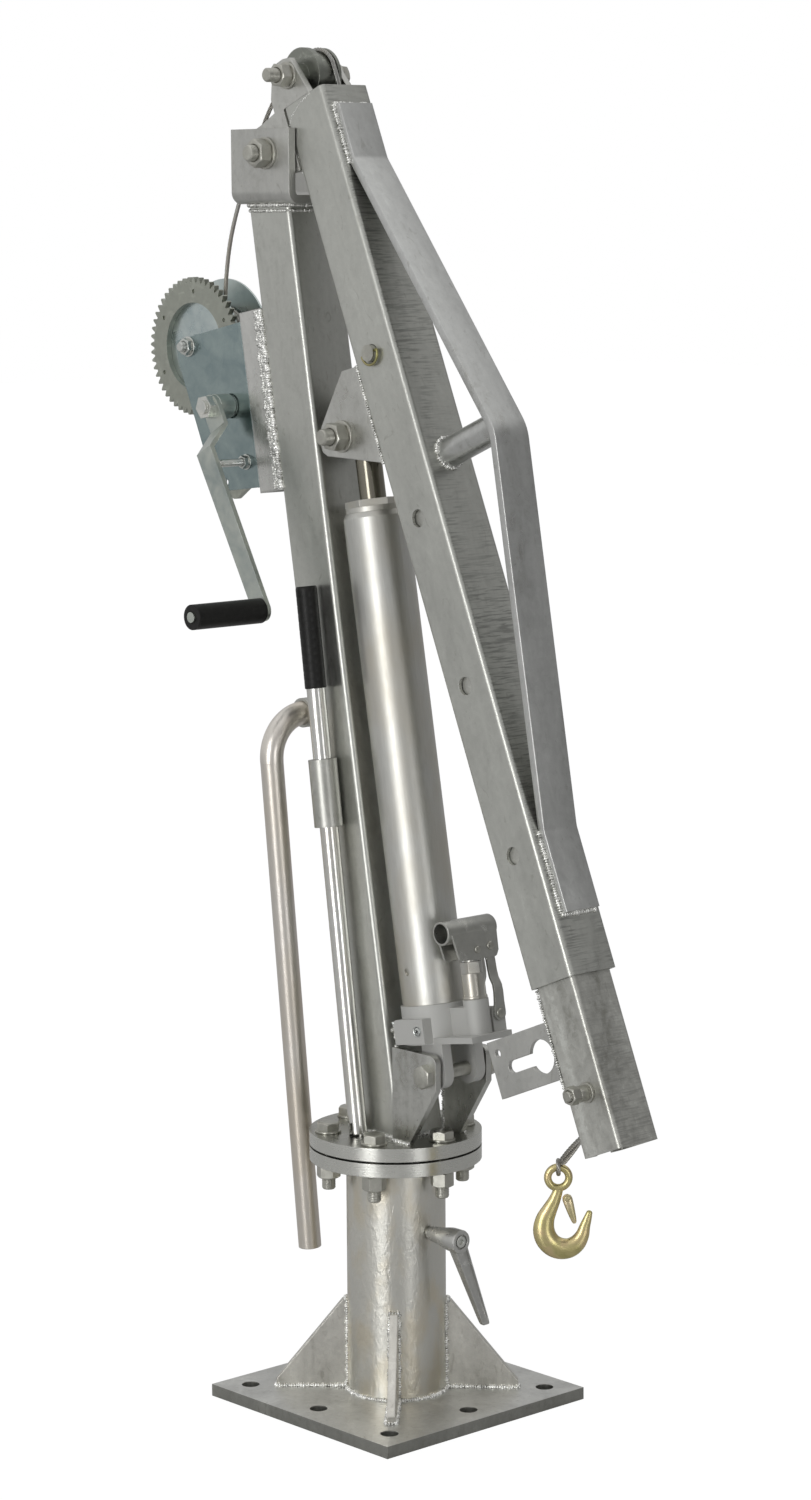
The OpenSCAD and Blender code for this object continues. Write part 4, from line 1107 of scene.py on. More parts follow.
@dataclass(frozen=True)
class CrossBolt:
    """A bolt across a member: head on one side, washers, nut and a threaded tail on the other."""

    n: float
    s: float
    size: float
    half: float
    tail: float
    head: float
    nut: float
    spacer: float = 0.0
    washer: float = 3.0
    head_washer: bool = True
    gap: float = 0.0

    def shape(self) -> Shape:
        """Builds the bolt along its own axis, with the head up.

        Returns:
            The bolt's shape.
        """
        r, flats = self.size / 2, 1.5 * self.size
        seat = -self.half - self.washer - self.spacer
        under = self.half + (self.washer if self.head_washer else 0.0)
        end = -self.half - self.tail - self.spacer
        made = Shape()
        made.join(hexagon(flats, under, under + self.head, 0.0))
        if self.head_washer:
            made.join(disc(0.95 * self.size, self.half, self.half + self.washer, r + 0.1, 0.6))
        made.join(disc(0.95 * self.size, -self.half - self.washer, -self.half, r + 0.1, 0.6))
        if self.spacer:
            made.join(disc(0.75 * self.size, seat, seat + self.spacer, r + 0.1, 0.9))
        made.join(hexagon(flats, seat, seat - self.nut, r + 0.05, True))
        made.join(thread(r, end, seat - self.nut / 2, 2.0 if r > 7 else 1.5))
        if self.gap:
            made.join(disc(r, seat - self.nut / 2, -self.gap, 0.0, 0.2))
            made.join(disc(r, self.gap, under, 0.0, 0.2))
        else:
            made.join(disc(r, seat - self.nut / 2, under, 0.0, 0.2))
        return made

    def mesh(self, name: str, axes: Axes, mirrored: bool = False) -> bpy.types.Mesh:
        """Makes the bolt's mesh in its place on a member.

        Args:
            name: The mesh's name.
            axes: The member's axes.
            mirrored: Whether the head is on the near side.

        Returns:
            The mesh.
        """
        flip = Matrix.Rotation(math.pi, 4, "X") if mirrored else Matrix.Identity(4)
        place = axes.place @ Matrix.Translation((self.n, 0, self.s)) @ ALONG_Y @ flip
        return self.shape().mesh(name, place)


@dataclass(frozen=True)
class Seam:
    """A run of weld metal."""

    path: tuple[Vector, ...]
    radius: float = 3.0


class LineTree:
    """Geometry nodes that turn a piece's lines into solid metal."""

    def __init__(self, name: str, sockets: dict[str, str]) -> None:
        """Builds the tree once, with its named inputs.

        Args:
            name: The tree's name.
            sockets: The type of each input that is a number.
        """
        self.tree = bpy.data.node_groups.new(name, "GeometryNodeTree")
        face = self.tree.interface
        face.new_socket("Geometry", in_out="INPUT", socket_type="NodeSocketGeometry")
        self.keys = {
            title: face.new_socket(title, in_out="INPUT", socket_type=kind).identifier
            for title, kind in {**sockets, "Metal": "NodeSocketMaterial"}.items()
        }
        face.new_socket("Geometry", in_out="OUTPUT", socket_type="NodeSocketGeometry")
        bench = Bench(self.tree)
        given = bench.node("NodeGroupInput")
        inputs = {socket.name: Wire(bench, socket) for socket in given.socket.node.outputs}
        line = bench.node("GeometryNodeMeshToCurve", {}, {"Mesh": inputs["Geometry"]})
        solid = self.solid(bench, line, inputs)
        real = bench.node("GeometryNodeRealizeInstances", {}, {"Geometry": solid})
        values = {"Geometry": real, "Material": inputs["Metal"]}
        done = bench.node("GeometryNodeSetMaterial", {}, values)
        bench.node("NodeGroupOutput", {}, {"Geometry": done})

    def solid(self, bench: Bench, line: Wire, inputs: dict[str, Wire]) -> Wire:
        """Gives the lines their solid form.

        Args:
            bench: The tree's bench.
            line: The lines, as curves.
            inputs: The tree's inputs.

        Returns:
            The solid geometry.
        """
        raise NotImplementedError

    def settle(
        self,
        name: str,
        lines: Sequence[Sequence[Vector]],
        values: dict[str, object],
        widths: Sequence[float] = (),
    ) -> bpy.types.Mesh:
        """Runs the tree on lines and keeps the plain mesh.

        Args:
            name: The mesh's name.
            lines: The lines, in millimetres.
            values: The tree's inputs.
            widths: The radius on each line, for a tree that reads it.

        Returns:
            The mesh.
        """
        points: list[Vector] = []
        edges: list[tuple[int, int]] = []
        for line in lines:
            start = len(points)
            points += [point * MM for point in line]
            edges += [(start + i, start + i + 1) for i in range(len(line) - 1)]
        mesh = bpy.data.meshes.new(name + "_line")
        mesh.from_pydata(points, edges, [])
        if widths:
            sizes = [width * MM for width, line in zip(widths, lines) for _ in line]
            mesh.attributes.new("bead", "FLOAT", "POINT").data.foreach_set("value", sizes)
        carrier = bpy.data.objects.new(name + "_line", mesh)
        bpy.context.scene.collection.objects.link(carrier)
        rule = carrier.modifiers.new("solid", "NODES")
        rule.node_group = self.tree
        for title, value in values.items():
            rule[self.keys[title]] = value
        bpy.context.view_layer.update()
        depsgraph = bpy.context.evaluated_depsgraph_get()
        made = bpy.data.meshes.new_from_object(carrier.evaluated_get(depsgraph))
        made.name = name
        carrier.modifiers.clear()
        bpy.data.objects.remove(carrier)
        return made


class BeadTree(LineTree):
    """Geometry nodes that lay overlapping ripples along every seam of a body."""

    thickness: float = 0.62
    unevenness: float = 0.3

    def __init__(self) -> None:
        """Builds the tree with the ripples' inputs."""
        number = "NodeSocketFloat"
        super().__init__(
            "weld_ripples",
            {"Ripple spacing": number, "Unevenness": number, "Seed": "NodeSocketInt"},
        )

    def solid(self, bench: Bench, line: Wire, inputs: dict[str, Wire]) -> Wire:
        """Sets a flattened ball on every step of the lines.

        Args:
            bench: The tree's bench.
            line: The lines, as curves.
            inputs: The tree's inputs.

        Returns:
            The ripples.
        """
        even = bench.node(
            "GeometryNodeResampleCurve",
            {"mode": "LENGTH"},
            {"Curve": line, "Length": inputs["Ripple spacing"]},
        )
        ball = bench.node("GeometryNodeMeshIcoSphere", {}, {"Radius": 1.0, "Subdivisions": 2})
        tangent = bench.node("GeometryNodeInputTangent")
        turn = bench.node("FunctionNodeAlignRotationToVector", {"axis": "Z"}, {"Vector": tangent})
        least = 1.0 - inputs["Unevenness"]
        most = 1.0 + inputs["Unevenness"]
        chance = bench.node(
            "FunctionNodeRandomValue",
            {"data_type": "FLOAT"},
            {"Min_001": least, "Max_001": most, "Seed": inputs["Seed"]},
            "Value_001",
        )
        radius = bench.node(
            "GeometryNodeInputNamedAttribute", {"data_type": "FLOAT"}, {"Name": "bead"}, "Attribute"
        )
        across = radius * chance
        size = bench.node(
            "ShaderNodeCombineXYZ", {}, {"X": across, "Y": across, "Z": across * self.thickness}
        )
        return bench.node(
            "GeometryNodeInstanceOnPoints",
            {},
            {"Points": even, "Instance": ball, "Rotation": turn, "Scale": size},
        )

    def lay(
        self,
        name: str,
        seams: Sequence[Seam],
        body: str,
        spacing: float = 2.6,
        seed: int = 3,
        finish: Finish | None = None,
    ) -> None:
        """Lays seams of one body as one piece.

        Args:
            name: The piece's name.
            seams: The seams.
            body: The body that carries them.
            spacing: The distance between ripples.
            seed: The seed of their unevenness.
            finish: Their finish, if it isn't the sparkling one.
        """
        finish = finish or FINISH.weld
        values = {
            "Ripple spacing": spacing * MM,
            "Unevenness": self.unevenness,
            "Seed": seed,
            "Metal": finish.material(),
        }
        paths, radii = [seam.path for seam in seams], [seam.radius for seam in seams]
        piece(self.settle(name, paths, values, radii), finish, body, bend=80)


class StrandTree(LineTree):
    """Geometry nodes that give every strand's centre line its round section."""

    sides: int = 7

    def __init__(self) -> None:
        """Builds the tree with the strands' input."""
        super().__init__("rope_strands", {"Strand radius": "NodeSocketFloat"})

    def solid(self, bench: Bench, line: Wire, inputs: dict[str, Wire]) -> Wire:
        """Sweeps a round section along every line.

        Args:
            bench: The tree's bench.
            line: The lines, as curves.
            inputs: The tree's inputs.

        Returns:
            The strands.
        """
        ring = bench.node(
            "GeometryNodeCurvePrimitiveCircle",
            {"mode": "RADIUS"},
            {"Resolution": self.sides, "Radius": inputs["Strand radius"]},
        )
        return bench.node(
            "GeometryNodeCurveToMesh", {}, {"Curve": line, "Profile Curve": ring, "Fill Caps": True}
        )


@dataclass(frozen=True)
class WireRope:
    """Six strands laid round a core, along a path."""

    radius: float = 2.5
    lay: float = 30.0
    strands: int = 6
    step: float = 2.2
    swell: float = 1.04

    @property
    def strand_r(self) -> float:
        """One strand's radius."""
        return self.radius / 3

    def lines(self, path: Sequence[Vector]) -> list[list[Vector]]:
        """Winds the strands' centre lines round a path.

        Args:
            path: The rope's path in millimetres.

        Returns:
            One line for the core and one for each strand.
        """
        points = spaced(path, self.step)
        frames = carried_frames(points)
        lines = [list(points)]
        reach = self.radius - self.strand_r
        for k in range(self.strands):
            line = []
            for i, (point, (side, up)) in enumerate(zip(points, frames)):
                a = TURN * (k / self.strands + i * self.step / self.lay)
                line.append(point + reach * (math.cos(a) * side + math.sin(a) * up))
            lines.append(line)
        return lines

    def build(
        self,
        tree: StrandTree,
        name: str,
        paths: Sequence[Sequence[Vector]],
        body: str,
        stands_for: Sequence[str],
    ) -> bpy.types.Object:
        """Builds the rope as one piece.

        Args:
            tree: The strands' geometry nodes.
            name: The piece's name.
            paths: One or more paths in millimetres.
            body: The body that carries it.
            stands_for: The solids that it replaces.

        Returns:
            The rope.
        """
        lines = [line for path in paths for line in self.lines(path)]
        values = {
            "Strand radius": self.strand_r * self.swell * MM,
            "Metal": FINISH.rope.material(),
        }
        return piece(tree.settle(name, lines, values), FINISH.rope, body, stands_for, bend=75)


def smoothed(points: Sequence[Vector], count: Callable[[float], int]) -> list[Vector]:
    """Draws a smooth line through points.

    Args:
        points: The points.
        count: Gives the number of steps on a stretch from its length.

    Returns:
        The line, with its two ends.
    """
    made: list[Vector] = []
    ends = [points[0] * 2 - points[1], *points, points[-1] * 2 - points[-2]]
    for a, b, c, d in zip(ends, ends[1:], ends[2:], ends[3:]):
        steps = count((c - b).length)
        for t in (k / steps for k in range(steps)):
            made.append(
                0.5 * (2 * b + t * (c - a) + t * t * (2 * a - 5 * b + 4 * c - d)
                       + t * t * t * (3 * b - 3 * c + d - a))
            )
    made.append(points[-1].copy())
    return made


def spaced(path: Sequence[Vector], step: float) -> list[Vector]:
    """Puts points at even distances along a smooth line through the given ones.

    Args:
        path: The given points.
        step: The distance.

    Returns:
        The even points, ends included.
    """
    smooth = smoothed(path, lambda stretch: max(2, int(stretch / 1.2)))
    length = sum((b - a).length for a, b in zip(smooth, smooth[1:]))
    count = max(2, round(length / step))
    made, done, wanted = [smooth[0]], 0.0, length / count
    for a, b in zip(smooth, smooth[1:]):
        part = (b - a).length
        while part > 0 and done + part >= wanted * len(made) - 1e-9 and len(made) < count:
            made.append(a.lerp(b, (wanted * len(made) - done) / part))
        done += part
    made.append(smooth[-1])
    return made


def headings(points: Sequence[Vector]) -> list[Vector]:
    """Gives a line's direction at each of its points."""
    pairs = zip([points[0], *points], [*points[1:], points[-1]])
    return [(after - before).normalized() for before, after in pairs]


def carried_frames(points: Sequence[Vector]) -> list[tuple[Vector, Vector]]:
    """Carries a pair of cross axes along a line without twisting it.

    Args:
        points: The line's points.

    Returns:
        The two axes at each point.
    """
    ways = headings(points)
    side = ways[0].orthogonal().normalized()
    frames = []
    for way in ways:
        side = (side - way * side.dot(way)).normalized()
        frames.append((side, way.cross(side)))
    return frames


def swept(
    path: Sequence[Vector], radii: Sequence[float], sides: int, flat: float, across: Vector
) -> Shape:
    """Sweeps an oval along a path, closed with round ends.

    Args:
        path: The path's points.
        radii: The radius at each point.
        sides: The number of sides.
        flat: The share of the radius that is left across the path's plane.
        across: The direction across the path's plane.

    Returns:
        The swept shape.
    """
    rings = []
    turns = [TURN * k / sides for k in range(sides)]
    for point, radius, way in zip(path, radii, headings(path)):
        side = across.cross(way).normalized()
        rings.append([
            point + radius * (math.cos(a) * side + flat * math.sin(a) * across) for a in turns
        ])
    return skinned(rings)


def ring_path(
    centre: Vector, radius: float, one: Vector, two: Vector, count: int = 40
) -> tuple[Vector, ...]:
    """Gives points of a closed circle.

    Args:
        centre: Its centre.
        radius: Its radius.
        one: A direction in its plane.
        two: The other direction in its plane.
        count: The number of points.

    Returns:
        The points, the first one again at the end.
    """
    return tuple(
        centre + radius * (math.cos(TURN * k / count) * one + math.sin(TURN * k / count) * two)
        for k in range(count + 1)
    )


X, Y, Z = Vector((1, 0, 0)), Vector((0, 1, 0)), Vector((0, 0, 1))


@dataclass(frozen=True)
class Sizes:
    """The crane's main sizes, as its solids have them."""

    plate_t: float = 14.0
    pipe_r: float = 57.0
    lower_z: float = 287.0
    deck_z: float = 320.5
    flange_pcd: float = 157.0
    mast_w: float = 70.0
    boom_w: float = 70.0
    mast_top: float = 1370.0
    channel_n: float = -73.0
    channel_lo: float = 1068.0
    channel_hi: float = 1276.0
    boom_head: float = 1611.0
    boom_foot: float = 583.0
    tip_foot: float = 393.0
    ear_half: float = 35.0
    ram_foot: tuple[float, float] = (101.0, 405.0)
    ram_off: float = -20.0
    drum: tuple[float, float] = (-171.5, 1252.0)
    hook_at: tuple[float, float, float] = (266.0, 0.0, 313.0)
    hook_turn: float = 48.0
    hook_eye: tuple[float, float] = (11.6, 4.2)

    @property
    def mast(self) -> Axes:
        """The mast's axes."""
        return Axes(64.0, 0.0, MAST_LEAN)

    @property
    def boom(self) -> Axes:
        """The folded boom's axes."""
        return Axes(513.3, 0.0, BOOM_LEAN)

    @property
    def luff(self) -> Vector:
        """The centre of the boom's pivot."""
        return self.boom.at(-70, 0, self.boom_head - 37)

    @property
    def ram(self) -> Axes:
        """Works out the ram's axes, with the foot pivot at their origin.

        Returns:
            The axes.
        """
        head = self.boom.at(-86, 0, self.boom_head - 371)
        foot_x, foot_z = self.ram_foot
        foot = Vector((foot_x, 0, foot_z))
        span = (head - foot).length
        along = math.sqrt(span * span - self.ram_off * self.ram_off)
        lean = math.atan2(foot.x - head.x, head.z - foot.z) - math.atan2(-self.ram_off, along)
        return Axes(foot_x, foot_z, math.degrees(lean))


SIZE = Sizes()


class Side(Enum):
    """The two sides of the boom's plane."""

    NEAR = -1
    FAR = 1


@dataclass
class Pedestal:
    """Base plate, pipe, gussets, thrust ring and clamp lever."""

    beads: BeadTree
    gusset_top: float = 118.0
    gusset_reach: float = 140.0
    gusset_half: float = 4.75
    clamp_z: float = 208.0
    hub_gap: float = 2.5

    def build(self) -> None:
        """Dresses the solids, welds them and adds the clamp lever's fittings."""
        dress(FINISH.plate, "base_plate")
        dress(FINISH.gusset, "gussets")
        dress(FINISH.pipe, "pedestal_pipe")
        dress(FINISH.bronze, "thrust_ring")
        lever = self.lever().mesh("clamp_lever_casting")
        piece(lever, FINISH.painted, "clamp_lever", ["clamp_lever"])
        piece(self.lever_screw().mesh("clamp_lever_screw"), FINISH.nickel, "clamp_lever")
        self.beads.lay("pedestal_welds", self.seams(), "base", 2.8, 5)

    def lever(self) -> Shape:
        """Casts the clamp lever: a flared hub and a grooved arm.

        Returns:
            The lever's shape.
        """
        hub = lathe([
            (6.1, 0), (7.6, 0), (8.0, 0.5), (10.5, 20), (12.4, 28), (13.3, 33), (13.5, 35),
            (13.5, 48.6), (12.9, 50.3), (11.6, 51), (8.9, 51), (8.5, 50.6), (8.5, 47.6),
            (0, 47.6), (0, 40), (6.1, 40),
        ], 40)
        made = Shape().join(hub, self.hub_place)
        top, tip = Vector((99, 2, self.clamp_z - 3)), Vector((109, 37, self.clamp_z - 104))
        rings = []
        for share, wide, deep, groove in (
            (0.0, 9.4, 6.0, 0.0), (0.06, 9.8, 6.4, 0.0), (0.13, 9.4, 6.2, 3.6),
            (0.5, 7.7, 5.1, 3.2), (0.9, 5.9, 3.9, 2.4), (0.965, 5.5, 3.6, 0.0),
            (0.99, 5.1, 3.2, 0.0), (1.0, 4.2, 2.4, 0.0),
        ):
            centre, rim = top.lerp(tip, share), 1.7 * wide / 8.5
            profile = ((-wide, -deep + 1), (-wide + 1, -deep), (wide - 1, -deep), (wide, -deep + 1),
                       (wide, deep - 0.7), (wide - 0.7, deep), (wide - rim, deep),
                       (wide - rim - 0.7, deep - groove), (-wide + rim + 0.7, deep - groove),
                       (-wide + rim, deep), (-wide + 0.7, deep), (-wide, deep - 0.7))
            rings.append([centre + Vector((x, y, 0)) for y, x in profile])
        return made.join(skinned(rings))

    @property
    def hub_place(self) -> Matrix:
        """The seat of the lever's hub on the pipe, looking out."""
        return Matrix.Translation((SIZE.pipe_r + self.hub_gap, 0, self.clamp_z)) @ ALONG_X

    def lever_screw(self) -> Shape:
        """Makes the lever's threaded stud and its socket screw.

        Returns:
            The shape of both.
        """
        place, reach = self.hub_place, SIZE.pipe_r + self.hub_gap
        made = Shape()
        made.join(disc(6.0, 51.0 - reach, 12, 0.0, 0.4), place)
        made.join(thread(6.05, -3.2, 3.5, 1.75), place)
        head = lathe([
            (0, 47), (6.8, 47), (6.8, 50.4), (6.3, 51), (3.6, 51), (3.2, 50.6), (3.2, 48.4), (0, 48)
        ], 36)
        return made.join(head, place)

    def seams(self) -> list[Seam]:
        """Lists the seams round the pipe's foot and along the gussets.

        Returns:
            The seams.
        """
        foot = SIZE.plate_t
        made = [Seam(ring_path(Vector((0, 0, foot + 0.5)), SIZE.pipe_r + 1, X, Y, 60), 3.4)]
        for k in range(4):
            turn = Matrix.Rotation(math.radians(45 + 90 * k), 4, "Z")
            for side in Side:
                y = side.value * (self.gusset_half + 0.6)
                line = [
                    Vector((self.gusset_reach - 1, y, foot + 0.6)),
                    Vector((SIZE.pipe_r + 2, y, foot + 1.5)),
                    Vector((SIZE.pipe_r + 0.2, y, foot + 8)),
                    Vector((SIZE.pipe_r + 0.2, y, self.gusset_top - 2)),
                ]
                made.append(Seam(tuple(turn @ point for point in line), 3.0))
            cap = [Vector((SIZE.pipe_r + 1.5, y, self.gusset_top)) for y in (-5, 0, 5)]
            made.append(Seam(tuple(turn @ point for point in cap), 3.0))
            toe = [Vector((self.gusset_reach + 0.4, y, foot + 0.8)) for y in (-5, 0, 5)]
            made.append(Seam(tuple(turn @ point for point in toe), 2.6))
        return made


@dataclass
class Turntable:
    """Turning post, the two flanges and their bolts."""

    count: int = 6
    size: float = 16.0
    washer: float = 2.5
    head: float = 9.5
    nut: float = 17.0
    tail: float = 13.5

    def build(self) -> None:
        """Dresses the flanges and replaces their bolts."""
        dress(FINISH.deck, "lower_flange", "upper_flange")
        dress(FINISH.pipe, "turning_post")
        bolts = Shape()
        for k in range(self.count):
            turn = Matrix.Rotation(TURN * k / self.count, 4, "Z")
            bolts.join(self.bolt(k), turn @ Matrix.Translation((SIZE.flange_pcd / 2, 0, 0)))
        piece(bolts.mesh("flange_bolt_set"), FINISH.plated, "mast", ["flange_bolts"])

    def bolt(self, k: int) -> Shape:
        """Builds one flange bolt.

        Args:
            k: Its number, which sets how its hexagons are turned.

        Returns:
            The bolt's shape.
        """
        r, flats = self.size / 2, 1.5 * self.size
        deck, under = SIZE.deck_z, SIZE.lower_z
        made = Shape()
        made.join(
            hexagon(flats, deck + self.washer, deck + self.washer + self.head),
            Matrix.Rotation(math.radians(11 * k), 4, "Z"),
        )
        made.join(disc(0.94 * self.size, deck, deck + self.washer, r + 0.1, 0.5))
        made.join(disc(0.94 * self.size, under - self.washer, under, r + 0.1, 0.5))
        seat = under - self.washer
        made.join(
            hexagon(flats, seat, seat - self.nut, r + 0.05, True),
            Matrix.Rotation(math.radians(17 * k), 4, "Z"),
        )
        made.join(thread(r, seat - self.nut - self.tail, seat - self.nut / 2))
        made.join(disc(r, seat - self.nut / 2, deck + self.washer, 0.0, 0.2))
        return made


@dataclass
class Mast:
    """Mast tube with the clevis, gusset, head bracket and the brackets on its back."""

    beads: BeadTree

    def build(self) -> None:
        """Dresses the mast's solids, welds them and replaces the two pivot bolts."""
        dress(FINISH.mast, "mast_tube")
        dress(FINISH.channel, "winch_channel")
        dress(FINISH.flange, "foot_clevis", "mast_gusset")
        dress(FINISH.bracket, "head_bracket")
        dress(FINISH.sleeve, "handle_sleeve", "slew_socket")
        half = SIZE.mast_w / 2
        pivot = CrossBolt(SIZE.luff.x, SIZE.luff.z, 19, half + 11, 28, 12, 16)
        piece(pivot.mesh("boom_pivot_bolt", Axes()), FINISH.plated, "mast", ["luff_bolt"])
        foot = CrossBolt(
            *SIZE.ram_foot, 16, half + 8, 24, 10, 13.5, washer=2.5, head_washer=False
        )
        bolt = foot.mesh("ram_foot_pivot_bolt", Axes(), True)
        piece(bolt, FINISH.plated, "mast", ["ram_foot_bolt"])
        self.beads.lay("mast_welds", self.seams(), "mast", 2.7, 7)
        self.beads.lay("head_bracket_weld", self.head_seams(), "mast", 1.8, 9, FINISH.fillet)

    def seams(self) -> list[Seam]:
        """Lists the mast's seams.

        Returns:
            The seams.
        """
        deck, half = SIZE.deck_z, SIZE.mast_w / 2
        made = [self.girdle(deck + 0.8, 0.8, 3.0)]
        for side in Side:
            y = side.value * (half + 8.4)
            made.append(Seam((Vector((44, y, deck + 0.6)), Vector((70, y, deck + 0.6))), 2.8))
            y = side.value * (half + 0.8)
            made.append(Seam((Vector((42.6, y, deck + 3)), Vector((42.6, y, 429))), 2.4))
            y = side.value * (half - 1.2)
            lo, hi = SIZE.channel_lo + 3, SIZE.channel_hi - 3
            for out, radius in ((1.0, 4.4), (6.0, 3.9), (10.5, 3.2)):
                wave = []
                for k in range(41):
                    n = -half - out + 1.2 * math.sin(k * 1.7 + out)
                    wave.append(SIZE.mast.at(n, y, lo + (hi - lo) * k / 40))
                made.append(Seam(tuple(wave), radius))
            y = side.value * 5.6
            back = SIZE.mast.at(-half, y, deck + 4)
            rise = SIZE.mast.at(-half, y, deck + 88)
            corner = Vector((back.x, y, deck + 0.8))
            made.append(Seam((Vector((-60, y, deck + 0.8)), corner, rise), 2.4))
        for s in (812 - 13, 812 + 13):
            made.append(Seam((SIZE.mast.at(-36, -28, s), SIZE.mast.at(-36, 28, s)), 2.4))
        return made

    def head_seams(self) -> list[Seam]:
        """Lists the two smooth runs under the head bracket.

        Returns:
            The seams.
        """
        top = SIZE.mast_top
        return [self.girdle(top - 1.2, 0.5, 2.6), self.girdle(top - 7.5, 0.2, 1.9)]

    def girdle(self, z: float, out: float, radius: float) -> Seam:
        """Runs a seam round the mast tube.

        Args:
            z: Its height.
            out: How far it stands off the tube.
            radius: Its radius.

        Returns:
            The seam.
        """
        lean, half, cut = math.radians(SIZE.mast.lean), SIZE.mast_w / 2, 4.0
        middle = SIZE.mast.x - z * math.tan(lean)
        reach = half / math.cos(lean) + out
        corners = [(-1, -1), (1, -1), (1, 1), (-1, 1), (-1, -1)]
        path = []
        for (a, b), (c, d) in zip(corners, corners[1:]):
            for u, v, p, q in ((a, b, c, d), (c, d, a, b)):
                x = middle + u * reach + cut * (p - u) / 2
                y = v * (half + out) + cut * (q - v) / 2
                path.append(Vector((x, y, z)))
        return Seam((*path, path[0]), radius)


@dataclass
class Winch:
    """Hand winch: folded frame, drum, gear, crank, pawl and its fasteners."""

    stud: tuple[float, float] = (-91.4, 1106.6)
    screws: tuple[float, ...] = (1088.0, 1170.0, 1252.0)
    frame_half: float = 35.0
    frame_t: float = 4.5
    channel_wall: float = 6.0

    def build(self) -> None:
        """Dresses the winch's solids and replaces its fasteners."""
        dress(FINISH.winch, "winch_frame")
        dress(FINISH.reel, "rope_drum")
        dress(FINISH.gear, "drum_gear", "winch_pawl")
        dress(FINISH.crank, "crank_arm")
        dress(FINISH.nickel, "crank_shaft")
        dress(FINISH.grip, "crank_grip")
        for name, shape, stands_for in (
            ("drum_axle_bolt", self.axle(*SIZE.drum, 6, 14), "drum_axle"),
            ("pawl_stud_bolt", self.axle(*self.stud, 4.5, 40), "pawl_stud"),
            ("winch_frame_screws", self.frame_screws(), "winch_screws"),
        ):
            piece(shape.mesh(name), FINISH.nickel, "mast", [stands_for])

    def axle(self, n: float, s: float, r: float, out: float) -> Shape:
        """Builds an axle with its head on the far cheek and a nut on the near one.

        Args:
            n: Its place out from the mast's axis.
            s: Its place along the mast.
            r: Its radius.
            out: How far its threaded end stands off the near cheek.

        Returns:
            The axle's shape.
        """
        half = self.frame_half
        made = Shape()
        made.join(hexagon(3 * r, half, half + 7))
        made.join(disc(2 * r, -half - 1.5, -half, r + 0.1, 0.4))
        made.join(hexagon(3 * r, -half - 1.5, -half - 8, r + 0.05, True))
        made.join(thread(r, -half - out, -half - 5, 1.5))
        made.join(disc(r, -half - 5, half, 0.0, 0.2))
        return Shape().join(made, SIZE.mast.place @ Matrix.Translation((n, 0, s)) @ ALONG_Y)

    def frame_screws(self) -> Shape:
        """Builds the screws that hold the winch to its channel.

        Returns:
            Their shape.
        """
        made, r, corner = Shape(), 5.0, 9.2
        flats = 2 * corner * math.cos(math.pi / 6)
        for s in self.screws:
            one = Shape()
            one.join(hexagon(flats, self.frame_t, self.frame_t + 6))
            one.join(hexagon(flats, -self.channel_wall, -self.channel_wall - 8, r + 0.05, True))
            one.join(thread(r, -18, -self.channel_wall - 4, 1.5))
            one.join(disc(r, -self.channel_wall - 4, self.frame_t, 0.0, 0.2))
            turn = SIZE.mast.place @ Matrix.Translation((SIZE.channel_n, 0, s))
            made.join(one, turn @ Matrix.Rotation(math.radians(-90), 4, "Y"))
        return made


